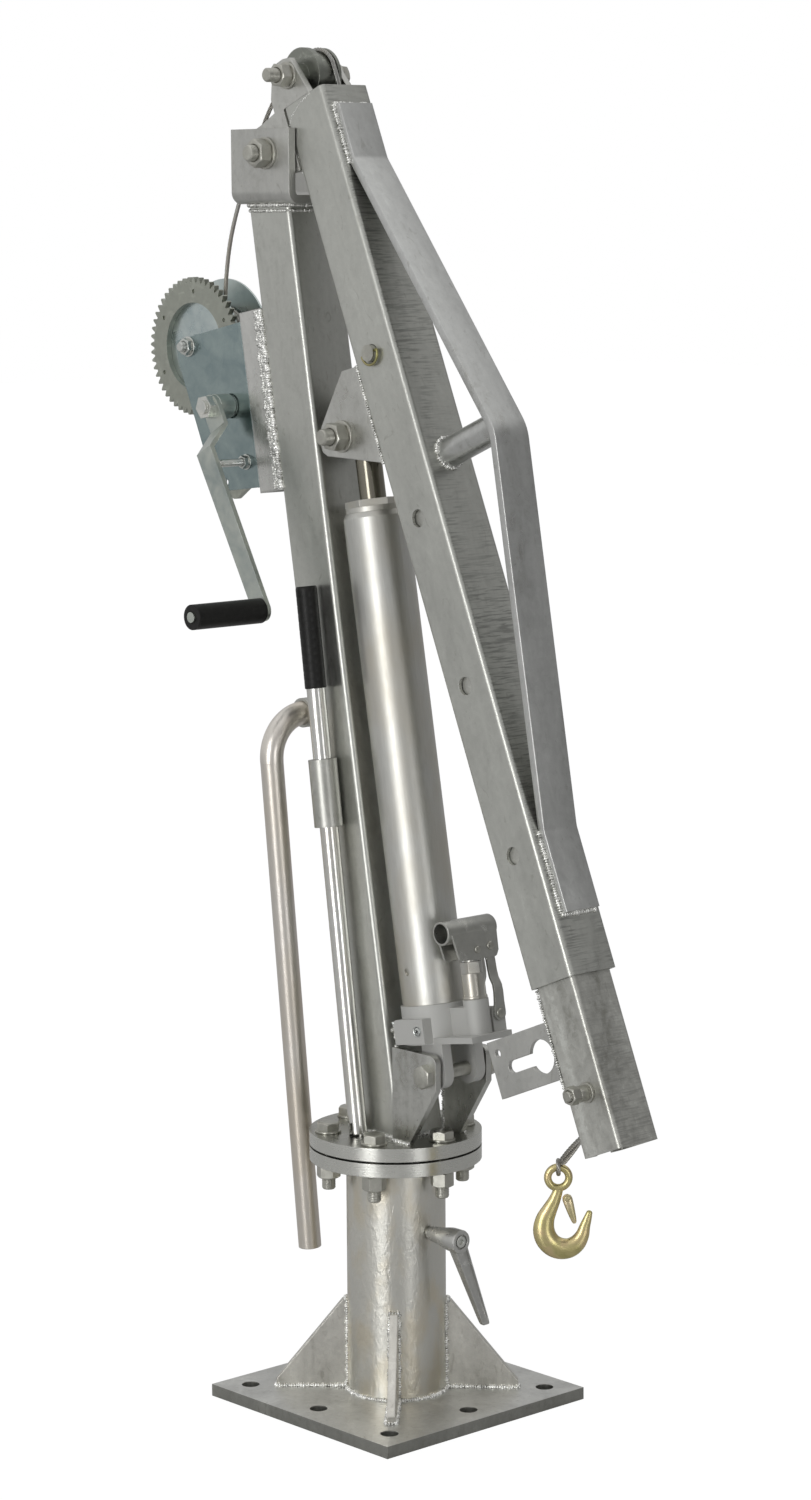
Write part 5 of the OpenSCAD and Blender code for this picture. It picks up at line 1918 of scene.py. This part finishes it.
@dataclass
class Boom:
    """Outer boom with its head plates, ram brackets, truss bar and bolts."""

    beads: BeadTree
    bar_half: float = 25.0
    bar_t: float = 9.5
    bar_peak: float = 129.5
    bar_round: float = 1.0
    bend_radii: tuple[float, ...] = (30.0, 44.0, 30.0)

    def build(self) -> None:
        """Dresses the boom's solids, welds them and replaces its bolts."""
        dress(FINISH.boom, "boom_tube")
        dress(FINISH.ear, "head_ears", "ram_brackets")
        dress(FINISH.truss, "truss_strut")
        piece(self.bar().mesh("bent_truss_bar"), FINISH.truss, "boom", ["truss_bar"], bend=50)
        dress(FINISH.sheave, "sheave")
        for name, bolt, stands_for in self.bolts():
            piece(bolt.mesh(name, SIZE.boom), FINISH.plated, "boom", [stands_for])
        self.beads.lay("boom_welds", self.seams(), "boom", 2.7, 11)

    def bar(self) -> Shape:
        """Bends the flat truss bar over its strut.

        Returns:
            The bar's shape.
        """
        head, foot, half = SIZE.boom_head, SIZE.boom_foot, SIZE.boom_w / 2
        corners = [Vector(p) for p in (
            (half, head - 26), (half, head - 93), (self.bar_peak, head - 446),
            (half, foot + 159), (half, foot + 67))]
        line = [corners[0]]
        for radius, (a, b, c) in zip(self.bend_radii, zip(corners, corners[1:], corners[2:])):
            line += bent(a, b, c, radius, 8)
        line.append(corners[-1])
        w, d, r = self.bar_half, self.bar_t, self.bar_round
        section = []
        for y, out, start in ((w, d, 0), (-w, d, 1), (-w, 0.0, 2), (w, 0.0, 3)):
            for k in range(4):
                a = math.radians(90 * start + 30 * k)
                mid_y, mid_out = y - math.copysign(r, y), out - r if out else r
                section.append((mid_y + r * math.cos(a), mid_out + r * math.sin(a)))
        ways = headings(line)
        ways[0] = ways[-1] = Vector((0, -1))
        rings = []
        for point, way in zip(line, ways):
            out = Vector((-way.y, way.x))
            spots = [(point + out * lift, y) for y, lift in section]
            rings.append([SIZE.boom.at(at.x, y, at.y) for at, y in spots])
        return skinned(rings)

    def bolts(self) -> list[tuple[str, CrossBolt, str]]:
        """Lists the boom's cross bolts.

        Returns:
            Each bolt's name, its sizes and the solid that it replaces.
        """
        half = SIZE.ear_half
        head = CrossBolt(-86, SIZE.boom_head - 371, 19, half, 32, 12, 16, gap=26.7)
        sheave = CrossBolt(-13, SIZE.boom_head + 32, 16, half, 32, 10, 14)
        return [
            ("ram_head_bolt", head, "ram_head_bolts"),
            ("sheave_axle_bolt", sheave, "sheave_bolt"),
        ]

    def seams(self) -> list[Seam]:
        """Lists the boom's seams.

        Returns:
            The seams.
        """
        at, head, foot = SIZE.boom.at, SIZE.boom_head, SIZE.boom_foot
        made: list[Seam] = []
        for side in Side:
            y = side.value * (SIZE.ear_half - 0.9)
            rim = [at(n, y, head - down) for n, down in ((13, 1), (-8, 5), (-24, 12), (-34, 22))]
            made.append(Seam(tuple(rim), 1.4))
            for sunk, top, end, radius in ((2.6, 24, 76, 1.1), (1.5, 308, 421, 2.4)):
                inner = y - side.value * sunk
                made.append(Seam((at(-35, inner, head - top), at(-35, inner, head - end)), radius))
            y = side.value * (self.bar_half + 0.6)
            made.append(Seam((at(35.6, y, head - 94), at(35.6, y, head - 26)), 2.8))
            made.append(Seam((at(35.6, y, foot + 159), at(35.6, y, foot + 68)), 2.8))
        for s in (head - 25, foot + 66):
            made.append(Seam((at(35.6, -24, s), at(35.6, 24, s)), 3.4))
        along = SIZE.boom.place.to_3x3() @ Z
        strut = head - 446 + 9
        made.append(Seam(ring_path(at(36, 0, strut), 17.4, along, Y), 2.6))
        made.append(Seam(ring_path(at(127, 0, strut), 17.0, along, Y), 2.2))
        return made


@dataclass
class Tip:
    """Tip tube with its keyhole plate, end bolt, roller and locking pin."""

    beads: BeadTree

    def build(self) -> None:
        """Dresses the tip's solids, welds the keyhole plate on and replaces the end bolt."""
        dress(FINISH.tip, "tip_tube")
        dress(FINISH.bracket, "keyhole_plate")
        dress(FINISH.plated, "tip_roller", "lock_pin")
        dress(FINISH.clip, "pin_ring")
        foot, at = SIZE.tip_foot, SIZE.boom.at
        bolt = CrossBolt(self.roller_n, foot + 67, 12, 30, 18, 8, 12, spacer=13)
        mesh = bolt.mesh("end_roller_bolt", SIZE.boom)
        piece(mesh, FINISH.plated, "telescope", ["tip_bolt"])
        wave = [
            at(-30.6, -28.6 + 0.3 * math.sin(k * 2.1), foot + 79 + 108 * k / 12) for k in range(13)
        ]
        end = (at(-33, -24, foot + 188), at(-33, -5, foot + 188))
        seams = [Seam(tuple(wave), 2.0), Seam(end, 2.0)]
        self.beads.lay("tip_welds", seams, "telescope", 2.6, 13)

    @property
    def roller_n(self) -> float:
        """The end roller's distance from the tip's axis."""
        return -13 + 26.7 + 2.5 + 0.4 - 9.8 - 2.5 - 0.3


@dataclass
class HookSet:
    """Forged hook with its eye, latch and latch pin."""

    line: tuple[tuple[float, float], ...] = (
        (0, -11.6), (-1.5, -18), (-5, -27), (-10, -37), (-14.5, -47), (-16, -58), (-13.5, -68),
        (-7, -76), (2, -80), (12, -79.5), (20.5, -74), (26, -65.5), (29, -55.5), (32, -46.5),
        (34, -40),
    )
    radii: tuple[float, ...] = (
        5.5, 5.8, 7, 8.6, 10.4, 11.8, 12.4, 12.4, 12, 11, 9.6, 7.8, 6, 4.6, 3.4
    )
    fine: int = 6

    def build(self) -> None:
        """Forges the hook and its latch."""
        turn = Matrix.Rotation(math.radians(SIZE.hook_turn), 4, "Z")
        place = Matrix.Translation(SIZE.hook_at) @ turn
        forging, latch = self.forging(), self.latch()
        piece(forging.mesh("forged_hook", place), FINISH.hook, "hook", ["hook"], bend=60)
        piece(latch.mesh("hook_latch_plate", place), FINISH.latch, "hook_latch", ["hook_latch"])

    def forging(self) -> Shape:
        """Sweeps the bill and turns the eye.

        Returns:
            The hook's shape.
        """
        path = [Vector((x, 0, z)) for x, z in self.line]
        marks = [Vector((r, 0, i)) for i, r in enumerate(self.radii)]
        smooth, thick = (smoothed(points, lambda _: self.fine) for points in (path, marks))
        way = (smooth[-1] - smooth[-2]).normalized()
        tip = thick[-1].x
        for share in (0.35, 0.65, 0.85, 0.97):
            smooth.append(path[-1] + way * tip * share * 0.8)
            thick.append(Vector((tip * math.sqrt(1 - share * share), 0, 0)))
        ring, around, over = Shape(), 44, 18
        major, minor = SIZE.hook_eye
        for i in range(around):
            a = TURN * i / around
            for k in range(over):
                b = TURN * k / over
                r = major + minor * math.cos(b)
                ring.points.append(Vector((r * math.cos(a), minor * math.sin(b), r * math.sin(a))))
                here, after, m = i * over, (i + 1) % around * over, (k + 1) % over
                ring.faces.append((here + k, after + k, after + m, here + m))
        return swept(smooth, [mark.x for mark in thick], 28, 0.76, Y).join(ring.outward())

    def latch(self) -> Shape:
        """Bends the latch and sets its pin.

        Returns:
            The latch's shape.
        """
        top, tip = Vector((9.5, 0, -23)), Vector((17.5, 0, -50))
        way = tip - top
        path = [top + way * share for share in (-0.14, -0.07, 0.05, 0.3, 0.6, 0.85, 1.0, 1.07)]
        widths = [2.2, 4.6, 5.6, 5.2, 4.3, 3.4, 2.6, 1.4]
        pin = disc(3.3, -5.6, 5.6, 0.0, 1.1)
        return swept(path, widths, 24, 0.56, Y).join(pin, Matrix.Translation(top) @ ALONG_Y)


@dataclass
class Ram:
    """Hand-pumped ram: casting, cylinder, gland, rod, pump, lever, links and release valve."""

    pump_x: float = 46.0
    pump_y: float = 2.0
    plunger_z: float = 135.0
    link_y: float = 22.0
    link_lo: float = 61.0
    link_hi: float = 137.0
    valve: tuple[float, float, float] = (-45.0, -38.0, 52.0)
    cheek: float = 13.5
    cheek_t: float = 2.8
    socket_z: float = 158.0
    link_out: float = 16.4
    link_t: float = 3.0

    def build(self) -> None:
        """Dresses the ram's solids and adds its rivets, valve screw, collar and T-bar."""
        dress(FINISH.casting, "ram_base")
        dress(FINISH.ram, "ram_cylinder", "gland_nut")
        dress(FINISH.chrome, "ram_rod")
        dress(FINISH.pump, "pump_barrel", "pump_plunger")
        place = SIZE.ram.place
        stand = place @ Matrix.Translation((self.pump_x, self.pump_y, 0))
        port = Matrix.Translation((-20, 0, 130)) @ Matrix.Rotation(math.radians(110), 4, "X")
        spin = Matrix.Translation(self.valve) @ Matrix.Rotation(math.radians(-90), 4, "Y")
        seat = Matrix.Translation((-6, -44, 50.5)) @ Matrix.Rotation(math.radians(90), 4, "X")
        pump = place @ Matrix.Translation((self.pump_x, 0, 0))
        collar = lathe([
            (13.05, 80), (13.5, 80), (13.9, 80.8), (13.9, 82.8), (13.5, 83.6), (13.05, 83.6)
        ], 40)
        plug = lathe([(0, 34.5), (4.6, 34.5), (4.6, 36.35), (4.1, 36.6), (0, 36.62)], 28)
        rivets = ((self.pump_y, self.plunger_z, 4.2), (self.link_y, self.link_hi, 5.0))
        feet = ((self.link_y, self.link_lo, 5.4),)
        for name, shape, at, finish, body in (
            ("pump_lever_socket", self.lever(), pump, FINISH.linkage, "pump_lever"),
            ("pump_link_pair", self.links(), pump, FINISH.linkage, "pump_links"),
            ("release_valve_bar", self.bar(), place @ spin, FINISH.nickel, "release_valve"),
        ):
            # Each of these replaces the one solid of its body, which has the body's name.
            piece(shape.mesh(name, at), finish, body, [body])
        for name, shape, at, finish, body in (
            ("pump_barrel_collar", collar, stand, FINISH.pump, "ram_cylinder"),
            ("valve_screw", self.valve_screw(), place @ seat, FINISH.nickel, "ram_cylinder"),
            # Painted shade: a near-black shape in the screw's cross and round its head.
            ("valve_screw_painted_shade", self.slot_shade_shape(), place @ seat, FINISH.pit, "ram_cylinder"),
            ("cylinder_port_plug", plug, place @ port, FINISH.ram, "ram_cylinder"),
            ("lever_rivets", self.rivets(self.cheek, rivets), pump, FINISH.plated, "pump_lever"),
            ("link_rivets", self.rivets(self.link_out, feet), pump, FINISH.plated, "pump_links"),
        ):
            piece(shape.mesh(name, at), finish, body)

    def bar(self) -> Shape:
        """Turns the release valve's spindle and its cross bar.

        Returns:
            The valve's shape.
        """
        spindle = lathe([
            (0, -20), (4.5, -20), (4.5, -1), (3.9, 0), (3.9, 5.5), (3.2, 7), (3.2, 9.2), (0, 10)
        ], 24)
        rod = lathe([
            (0, -10), (1.7, -9.7), (2.3, -8.7), (2.3, -7.4), (1.5, -6.6), (1.5, 6.6), (2.3, 7.4),
            (2.3, 8.7), (1.7, 9.7), (0, 10),
        ], 20)
        return spindle.join(rod, Matrix.Translation((0, 0, 6)) @ ALONG_X)

    def lever(self) -> Shape:
        """Folds the pump lever: a socket for the handle with two cheeks and their pins.

        Returns:
            The lever's shape.
        """
        made = Shape()
        tube = lathe([
            (11.05, -38), (12.9, -38), (13.5, -37.4), (13.5, 34.5), (12.6, 36), (11.05, 36)
        ], 44)
        made.join(tube, Matrix.Translation((0, 0, self.socket_z)) @ ALONG_Y)
        outline = rounded(((-34, 156, 0), (-30, 140, 3), (-26.5, 125, 5), (30, 124, 5),
                           (34, 131, 3), (34.5, 156, 0)))
        for low in (self.cheek - self.cheek_t, -self.cheek):
            made.join(plate(outline, low, low + self.cheek_t, 0.5), UPRIGHT)
        for y, z, r in ((self.link_y, self.link_hi, 3.5), (self.pump_y, self.plunger_z, 3.0)):
            made.join(disc(r, -self.cheek, self.cheek, 0.0, 0.3),
                      Matrix.Translation((0, y, z)) @ ALONG_X)
        return made

    def links(self) -> Shape:
        """Bends the two links that run from the casting's lug up between the lever's cheeks.

        Returns:
            The links' shape.
        """
        made = Shape()
        lo, hi, y = self.link_lo, self.link_hi, self.link_y
        inner = self.cheek - self.cheek_t - 0.3 - self.link_t
        rows = [(lo - 8.2, 2.6, 0.0), (lo - 6.5, 5.4, 0.0), (lo - 3, 7.8, 0.0), (lo, 8.4, 0.0),
                (lo + 5, 7.9, 0.0), (lo + 12, 6.9, 0.0), (lo + 24, 6.4, 0.0), (lo + 32, 6.2, 0.18),
                (lo + 40, 6.1, 0.82), (lo + 48, 6.1, 1.0), (hi - 6, 6.3, 1.0), (hi, 6.6, 1.0),
                (hi + 3.5, 5.6, 1.0), (hi + 6, 2.6, 1.0)]
        for way in (1, -1):
            rings = []
            for z, half, share in rows:
                low = (self.link_out - self.link_t) * (1 - share) + inner * share
                high = low + self.link_t
                bow = 2.2 * math.sin(math.pi * (z - lo) / (hi - lo)) if lo < z < hi else 0.0
                section = ((-half, low), (half, low), (half, high), (-half, high))
                rings.append([Vector((way * u, y + bow + v, z)) for v, u in section])
            made.join(skinned(rings))
        pin = disc(3.5, 1 - self.link_out, self.link_out - 1, 0.0, 0.3)
        return made.join(pin, Matrix.Translation((0, y, lo)) @ ALONG_X)

    def rivets(self, x: float, spots: Sequence[tuple[float, float, float]]) -> Shape:
        """Sets rivet heads on both cheeks of a linkage.

        Args:
            x: The cheeks' distance from the pump's middle.
            spots: Each rivet's place across, its place along the ram and its radius.

        Returns:
            The heads.
        """
        made = Shape()
        for y, z, radius in spots:
            for way in (1, -1):
                turn = Matrix.Rotation(math.radians(90 * way), 4, "Y")
                made.join(self.rivet(radius), Matrix.Translation((way * x, y, z)) @ turn)
        return made

    def rivet(self, radius: float) -> Shape:
        """Turns a domed rivet head.

        Args:
            radius: Its radius.

        Returns:
            The head, standing on its seat.
        """
        turns = (0, 0.35, 0.7, 1.05, 1.35)
        dome = [(radius * math.cos(a), 0.6 + 1.7 * math.sin(a)) for a in turns]
        return lathe([(0, -0.6), (radius, -0.6), *dome, (0, 2.3)], 28)

    def valve_screw(self) -> Shape:
        """Turns the overload valve's screw and the ring round it.

        Returns:
            The screw's shape.
        """
        ring = lathe([(5.2, -0.5), (6.6, -0.5), (6.5, 0.5), (5.9, 0.7), (5.2, 0.3)], 36)
        return ring.join(lathe([(0, -0.5), (4.6, -0.5), (4.5, 0.3), (3.6, 0.75), (0, 0.9)], 36))

    def slot_shade_shape(self) -> Shape:
        """Paints shade into the screw's cross and the groove round its head, as a near-black shape.

        Returns:
            The painted shade's shape.
        """
        made = lathe([(4.6, -0.45), (5.2, -0.45), (5.2, 0.1), (4.6, 0.1)], 36)
        bar = lathe([(0, 0.7), (0.9, 0.7), (0.9, 1.02), (0, 1.02)], 4)
        long = Matrix.Diagonal((3.6, 0.85, 1, 1)) @ Matrix.Rotation(math.radians(45), 4, "Z")
        for turn in (20, 110):
            made.join(bar, Matrix.Rotation(math.radians(turn), 4, "Z") @ long)
        return made


@dataclass
class Handles:
    """Pump handle with its grip, and the slewing handle."""

    foot_x: float = -6.0
    tilt: float = 7.5
    length: float = 622.0
    tube_r: float = 10.65
    grip_len: float = 113.0

    def build(self) -> None:
        """Dresses the two tubes and moulds the pump handle's grip."""
        dress(FINISH.handle, "pump_handle")
        dress(FINISH.slewer, "slew_handle")
        foot_z = SIZE.deck_z + 0.3 + self.tube_r * math.sin(math.radians(self.tilt))
        axes = Axes(self.foot_x, foot_z, self.tilt, -35 - 16.5 - 0.05)
        top, low, r = self.length + 3, self.length - self.grip_len, self.tube_r + 1.6
        outline = [(self.tube_r + 0.05, low), (r - 0.7, low), (r - 0.1, low + 0.7), (r, low + 2)]
        for k in range(1, 12):
            z = low + k * self.grip_len / 12
            outline += [(r - 0.05, z - 0.8), (r - 0.3, z), (r - 0.05, z + 0.8)]
        outline += [(r, top - 3), (r - 0.4, top - 1.2), (r - 1.5, top), (0, top), (0, top - 3),
                    (self.tube_r + 0.05, top - 3)]
        mesh = lathe(outline, 44).mesh("pump_handle_grip", axes.place)
        piece(mesh, FINISH.grip, "pump_handle", ["handle_grip"])


@dataclass
class Ropes:
    """Wire rope from the drum over the sheave and through the boom to the hook."""

    strands: StrandTree
    rope: WireRope = WireRope()
    wind_r: float = 45.0
    wind_turns: int = 6
    wind_pitch: float = 5.55
    wind_y0: float = -17.5 + 2.5 + 0.6
    sheave: tuple[float, float] = (-13.0, 1643.0)
    run_r: float = 29.6
    run_y: float = 10.0
    pair_lay: float = 150.0
    roller_r: float = 9.8
    clear: float = 0.3
    slack: float = 0.9
    luff_pivot: tuple[float, float, float] = (-155.459, 0.0, 1426.583)
    luff_range: float = 98.0

    def build(self) -> None:
        """Lays the four lengths of rope."""
        n, s = SIZE.drum
        wind = [
            SIZE.mast.at(n + self.wind_r * math.cos(a), self.wind_y0 + self.wind_pitch * a / TURN,
                         s - self.wind_r * math.sin(a))
            for a in (math.radians(12 * k) for k in range(self.wind_turns * 30 + 1))
        ]
        wind.insert(0, wind[0] + (SIZE.mast.place.to_3x3() @ Z) * 5)
        self.rope.build(self.strands, "rope_on_drum", [wind], "drum", ["rope_winding"])
        lead = [SIZE.mast.at(n + self.wind_r, self.wind_y0, s + k) for k in (5.1, 10.1)]
        lead += [Vector(p) for p in (
            (-271, -13.4, 1246), (-270.4, -11.8, 1284), (-266, -8, 1329), (-255.5, -3, 1372),
            (-239, 3, 1418), (-221.5, 7, 1460), (-206, 9, 1486), (-188.5, 10, 1507))]
        around = math.radians(112 + SIZE.boom.lean + 1)
        centre = SIZE.boom.at(self.sheave[0], 0, self.sheave[1])
        reach = centre + self.run_r * Vector((math.cos(around), 0, math.sin(around)))
        along = Vector((-math.sin(around), 0, math.cos(around)))
        lead += [Vector((reach.x, self.run_y, reach.z)) + k * along for k in (5.0, 0.0)]
        made = self.rope.build(self.strands, "rope_to_sheave", [lead], "mast", ["rope_lead"])
        self.slacken(made, lead[0], lead[-1])
        run = [
            SIZE.boom.at(self.sheave[0] + self.run_r * math.cos(a), self.run_y,
                         self.sheave[1] + self.run_r * math.sin(a))
            for a in (math.radians(112 - 14 * k) for k in range(9))
        ]
        run += [SIZE.boom.at(16.6, self.run_y, s) for s in (1583, 1483, 1371)]
        self.rope.build(self.strands, "rope_over_sheave", [run], "boom", ["rope_run"])
        self.rope.build(self.strands, "rope_to_hook", self.tail(), "telescope", ["rope_tail"])

    def slacken(self, made: bpy.types.Object, low: Vector, high: Vector) -> None:
        """Works out how far the sheave would carry the rope's upper end while the boom luffs, and
        gives the rope a mesh of its own.

        Args:
            made: The rope.
            low: The end at the drum, which stays.
            high: The end at the sheave.
        """
        pivot = Vector(self.luff_pivot)
        carried = pivot + Matrix.Rotation(-math.radians(self.luff_range), 3, "Y") @ (high - pivot)
        away = high - carried
        reach = (high - low).dot(away.normalized())
        1 - away.length / reach
        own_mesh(made)

    def tail(self) -> list[list[Vector]]:
        """Traces the rope inside the tip, round the end roller and through the hook's eye.

        Returns:
            The rope's path and the loop through the eye.
        """
        foot, n = SIZE.tip_foot, 16.6
        wrap = self.roller_r + self.rope.radius + self.clear
        centre = SIZE.boom.at(n - wrap, 0, foot + 67)
        ring_r, wire_r = SIZE.hook_eye
        loop_top = Vector(SIZE.hook_at) + ring_r * Z
        loop_r = wire_r + self.rope.radius + self.slack
        out = math.radians(50)
        goal = Vector((loop_top.x + loop_r * math.cos(out), 0, loop_top.z + loop_r * math.sin(out)))
        gap = Vector((goal.x - centre.x, 0, goal.z - centre.z))
        leave = math.atan2(gap.z, gap.x) + math.acos(wrap / gap.length)
        path = [SIZE.boom.at(n, y, s) for s, y in
                ((1370.8, 10), (1330, 10), (1000, 7), (600, 3), (foot + 79, 3))]
        a = math.radians(SIZE.boom.lean)
        while a > leave:
            path.append(Vector((centre.x + wrap * math.cos(a), 3, centre.z + wrap * math.sin(a))))
            a -= math.radians(13)
        start = Vector((centre.x + wrap * math.cos(leave), 3, centre.z + wrap * math.sin(leave)))
        pair = self.twisted(start, goal)
        path += pair[0]
        turn = Matrix.Rotation(math.radians(SIZE.hook_turn), 3, "Z")
        loop = [loop_top + turn @ Vector((0, loop_r * math.cos(b), loop_r * math.sin(b)))
                for b in (TURN * k / 40 for k in range(41))]
        return [path, pair[1], loop]

    def twisted(self, start: Vector, goal: Vector) -> tuple[list[Vector], list[Vector]]:
        """Lays the rope's dead end round its standing part, above the loop.

        Args:
            start: Where the rope leaves the end roller.
            goal: The top of the loop.

        Returns:
            The standing part and the dead end.
        """
        span = goal - start
        way = span.normalized()
        side = Vector((0.67, 0.74, 0.0))
        side = (side - way * side.dot(way)).normalized()
        up = way.cross(side)
        ropes: tuple[list[Vector], list[Vector]] = ([], [])
        count = max(6, round(span.length / 4))
        for k in range(count + 1):
            run = span.length * k / count
            apart = 0.92 * self.rope.radius * min(1.0, run / 12) * (0.4 if k == count else 1.0)
            turn = TURN * (run - 16) / self.pair_lay
            offset = apart * (math.cos(turn) * side + math.sin(turn) * up)
            ropes[0].append(start + way * run + offset)
            if run > 11:
                ropes[1].append(start + way * run - offset)
        return ropes


@dataclass
class Studio:
    """Camera, soft lights, white surroundings and a pale floor."""

    azimuth: float = 48.047
    distance: float = 4118.397
    height: float = 1354.71
    yaw_off: float = -0.2
    pitch: float = 8.241
    roll: float = -0.382
    focal: float = 3682.259
    frame_height: float = 1500.0
    sensor: float = 36.0

    def build(self) -> None:
        """Sets up the view, the light and the floor."""
        scene = bpy.context.scene
        scene.view_settings.view_transform = "Standard"
        self.camera(scene)
        self.surroundings(scene)
        self.lamps(scene)
        self.floor(scene)

    def camera(self, scene: bpy.types.Scene) -> None:
        """Places the camera at the photograph's viewpoint.

        Args:
            scene: The scene.
        """
        a, p = math.radians(self.azimuth), math.radians(self.pitch)
        yaw, roll = math.radians(self.azimuth + self.yaw_off), math.radians(self.roll)
        ahead = Vector((-math.sin(yaw) * math.cos(p), math.cos(yaw) * math.cos(p), -math.sin(p)))
        right = Vector((math.cos(yaw), math.sin(yaw), 0))
        up = right.cross(ahead)
        side = math.cos(roll) * right + math.sin(roll) * up
        top = -math.sin(roll) * right + math.cos(roll) * up
        lens = bpy.data.cameras.new("view")
        lens.sensor_fit = "VERTICAL"
        lens.sensor_width = lens.sensor_height = self.sensor
        lens.lens = self.focal * self.sensor / self.frame_height
        lens.clip_start, lens.clip_end = 0.1, 60.0
        eye = bpy.data.objects.new("view", lens)
        place = Matrix((side, top, -ahead)).transposed().to_4x4()
        place.translation = Vector(
            (math.sin(a) * self.distance, -math.cos(a) * self.distance, self.height)) * MM
        eye.matrix_world = place
        scene.collection.objects.link(eye)
        scene.camera = eye

    def surroundings(self, scene: bpy.types.Scene) -> None:
        """Makes the white backdrop and a studio that is dimmer on the boom's side.

        Args:
            scene: The scene.
        """
        world = bpy.data.worlds.new("studio")
        scene.world = world
        world.use_nodes = True
        bench = Bench(world.node_tree)
        path = bench.node("ShaderNodeLightPath", output="Is Camera Ray")
        seen = Wire(bench, path.socket.node.outputs["Is Camera Ray"])
        gloss = Wire(bench, path.socket.node.outputs["Is Glossy Ray"])
        through = Wire(bench, path.socket.node.outputs["Is Transmission Ray"])
        way = bench.node("ShaderNodeTexCoord", output="Generated")
        left = bench.along(way, (-0.67, -0.74, 0.0))
        height = bench.along(way, UP)
        walls = bench.ramp(0.5 * left + 0.5, (0.0, 0.28), (0.5, 0.5), (0.95, 0.7))
        ceiling = bench.ramp(height, (0.46, 0.0), (0.66, 0.6), (0.8, 1.0))
        soft = bench.mix(ceiling, walls, (0.86, 0.86, 0.86))
        white = bench.maths("MAXIMUM", seen, through)
        level = bench.mix(white, bench.mix(gloss, (0.55, 0.55, 0.55), soft), (1.0, 1.0, 1.0))
        glow = bench.node("ShaderNodeBackground", {}, {"Color": level, "Strength": 1.0})
        bench.node("ShaderNodeOutputWorld", {}, {"Surface": glow})

    def lamps(self, scene: bpy.types.Scene) -> None:
        """Hangs a large soft key and a narrow side light.

        Args:
            scene: The scene.
        """
        for name, place, power, wide, high in (
            ("key", (0.87, -3.49, 1.1), 37.0, 1.1, 2.4),
            ("side", (3.44, -0.67, 0.6), 8.5, 0.9, 1.1),
        ):
            lamp = bpy.data.lights.new(name, "AREA")
            lamp.shape, lamp.size, lamp.size_y, lamp.energy = "RECTANGLE", wide, high, power
            hung = bpy.data.objects.new(name, lamp)
            aim = Vector((0.05, 0.0, 0.85)) - Vector(place)
            hung.rotation_euler = aim.to_track_quat("-Z", "Y").to_euler()
            hung.location = place
            scene.collection.objects.link(hung)

    def floor(self, scene: bpy.types.Scene) -> None:
        """Lays a pale floor that shows white and keeps a soft shadow.

        Args:
            scene: The scene.
        """
        mesh = bpy.data.meshes.new("studio_floor")
        reach = 22.0
        corners = [(-reach, -reach, 0), (reach, -reach, 0), (reach, reach, 0), (-reach, reach, 0)]
        mesh.from_pydata(corners, [], [(0, 1, 2, 3)])
        ground = bpy.data.objects.new("studio_floor", mesh)
        scene.collection.objects.link(ground)
        paint = bpy.data.materials.new("studio_floor")
        paint.use_nodes = True
        bench = Bench(paint.node_tree)
        path = bench.node("ShaderNodeLightPath", output="Is Camera Ray")
        glow = bench.node("ShaderNodeEmission", {}, {"Color": (1, 1, 1, 1), "Strength": 1.1})
        matt = bench.node(
            "ShaderNodeBsdfPrincipled", {},
            {"Base Color": (0.66, 0.66, 0.66, 1), "Roughness": 0.22, "IOR": 1.7},
        )
        shown = bench.node(
            "ShaderNodeMixShader", {}, {"Fac": 0.88 * path, "Shader": matt, "Shader_001": glow}
        )
        bench.node("ShaderNodeOutputMaterial", {}, {"Surface": shown})
        mesh.materials.append(paint)


def main() -> None:
    """Builds the stage and the crane's parts in order."""
    logging.basicConfig(level=logging.INFO, format="%(name)s: %(message)s")
    Studio().build()
    beads, strands = BeadTree(), StrandTree()
    for part in (
        Pedestal(beads), Turntable(), Mast(beads), Winch(), Boom(beads),
        Tip(beads), HookSet(), Ram(), Handles(), Ropes(strands),
    ):
        part.build()


if __name__ == "__main__":
    main()
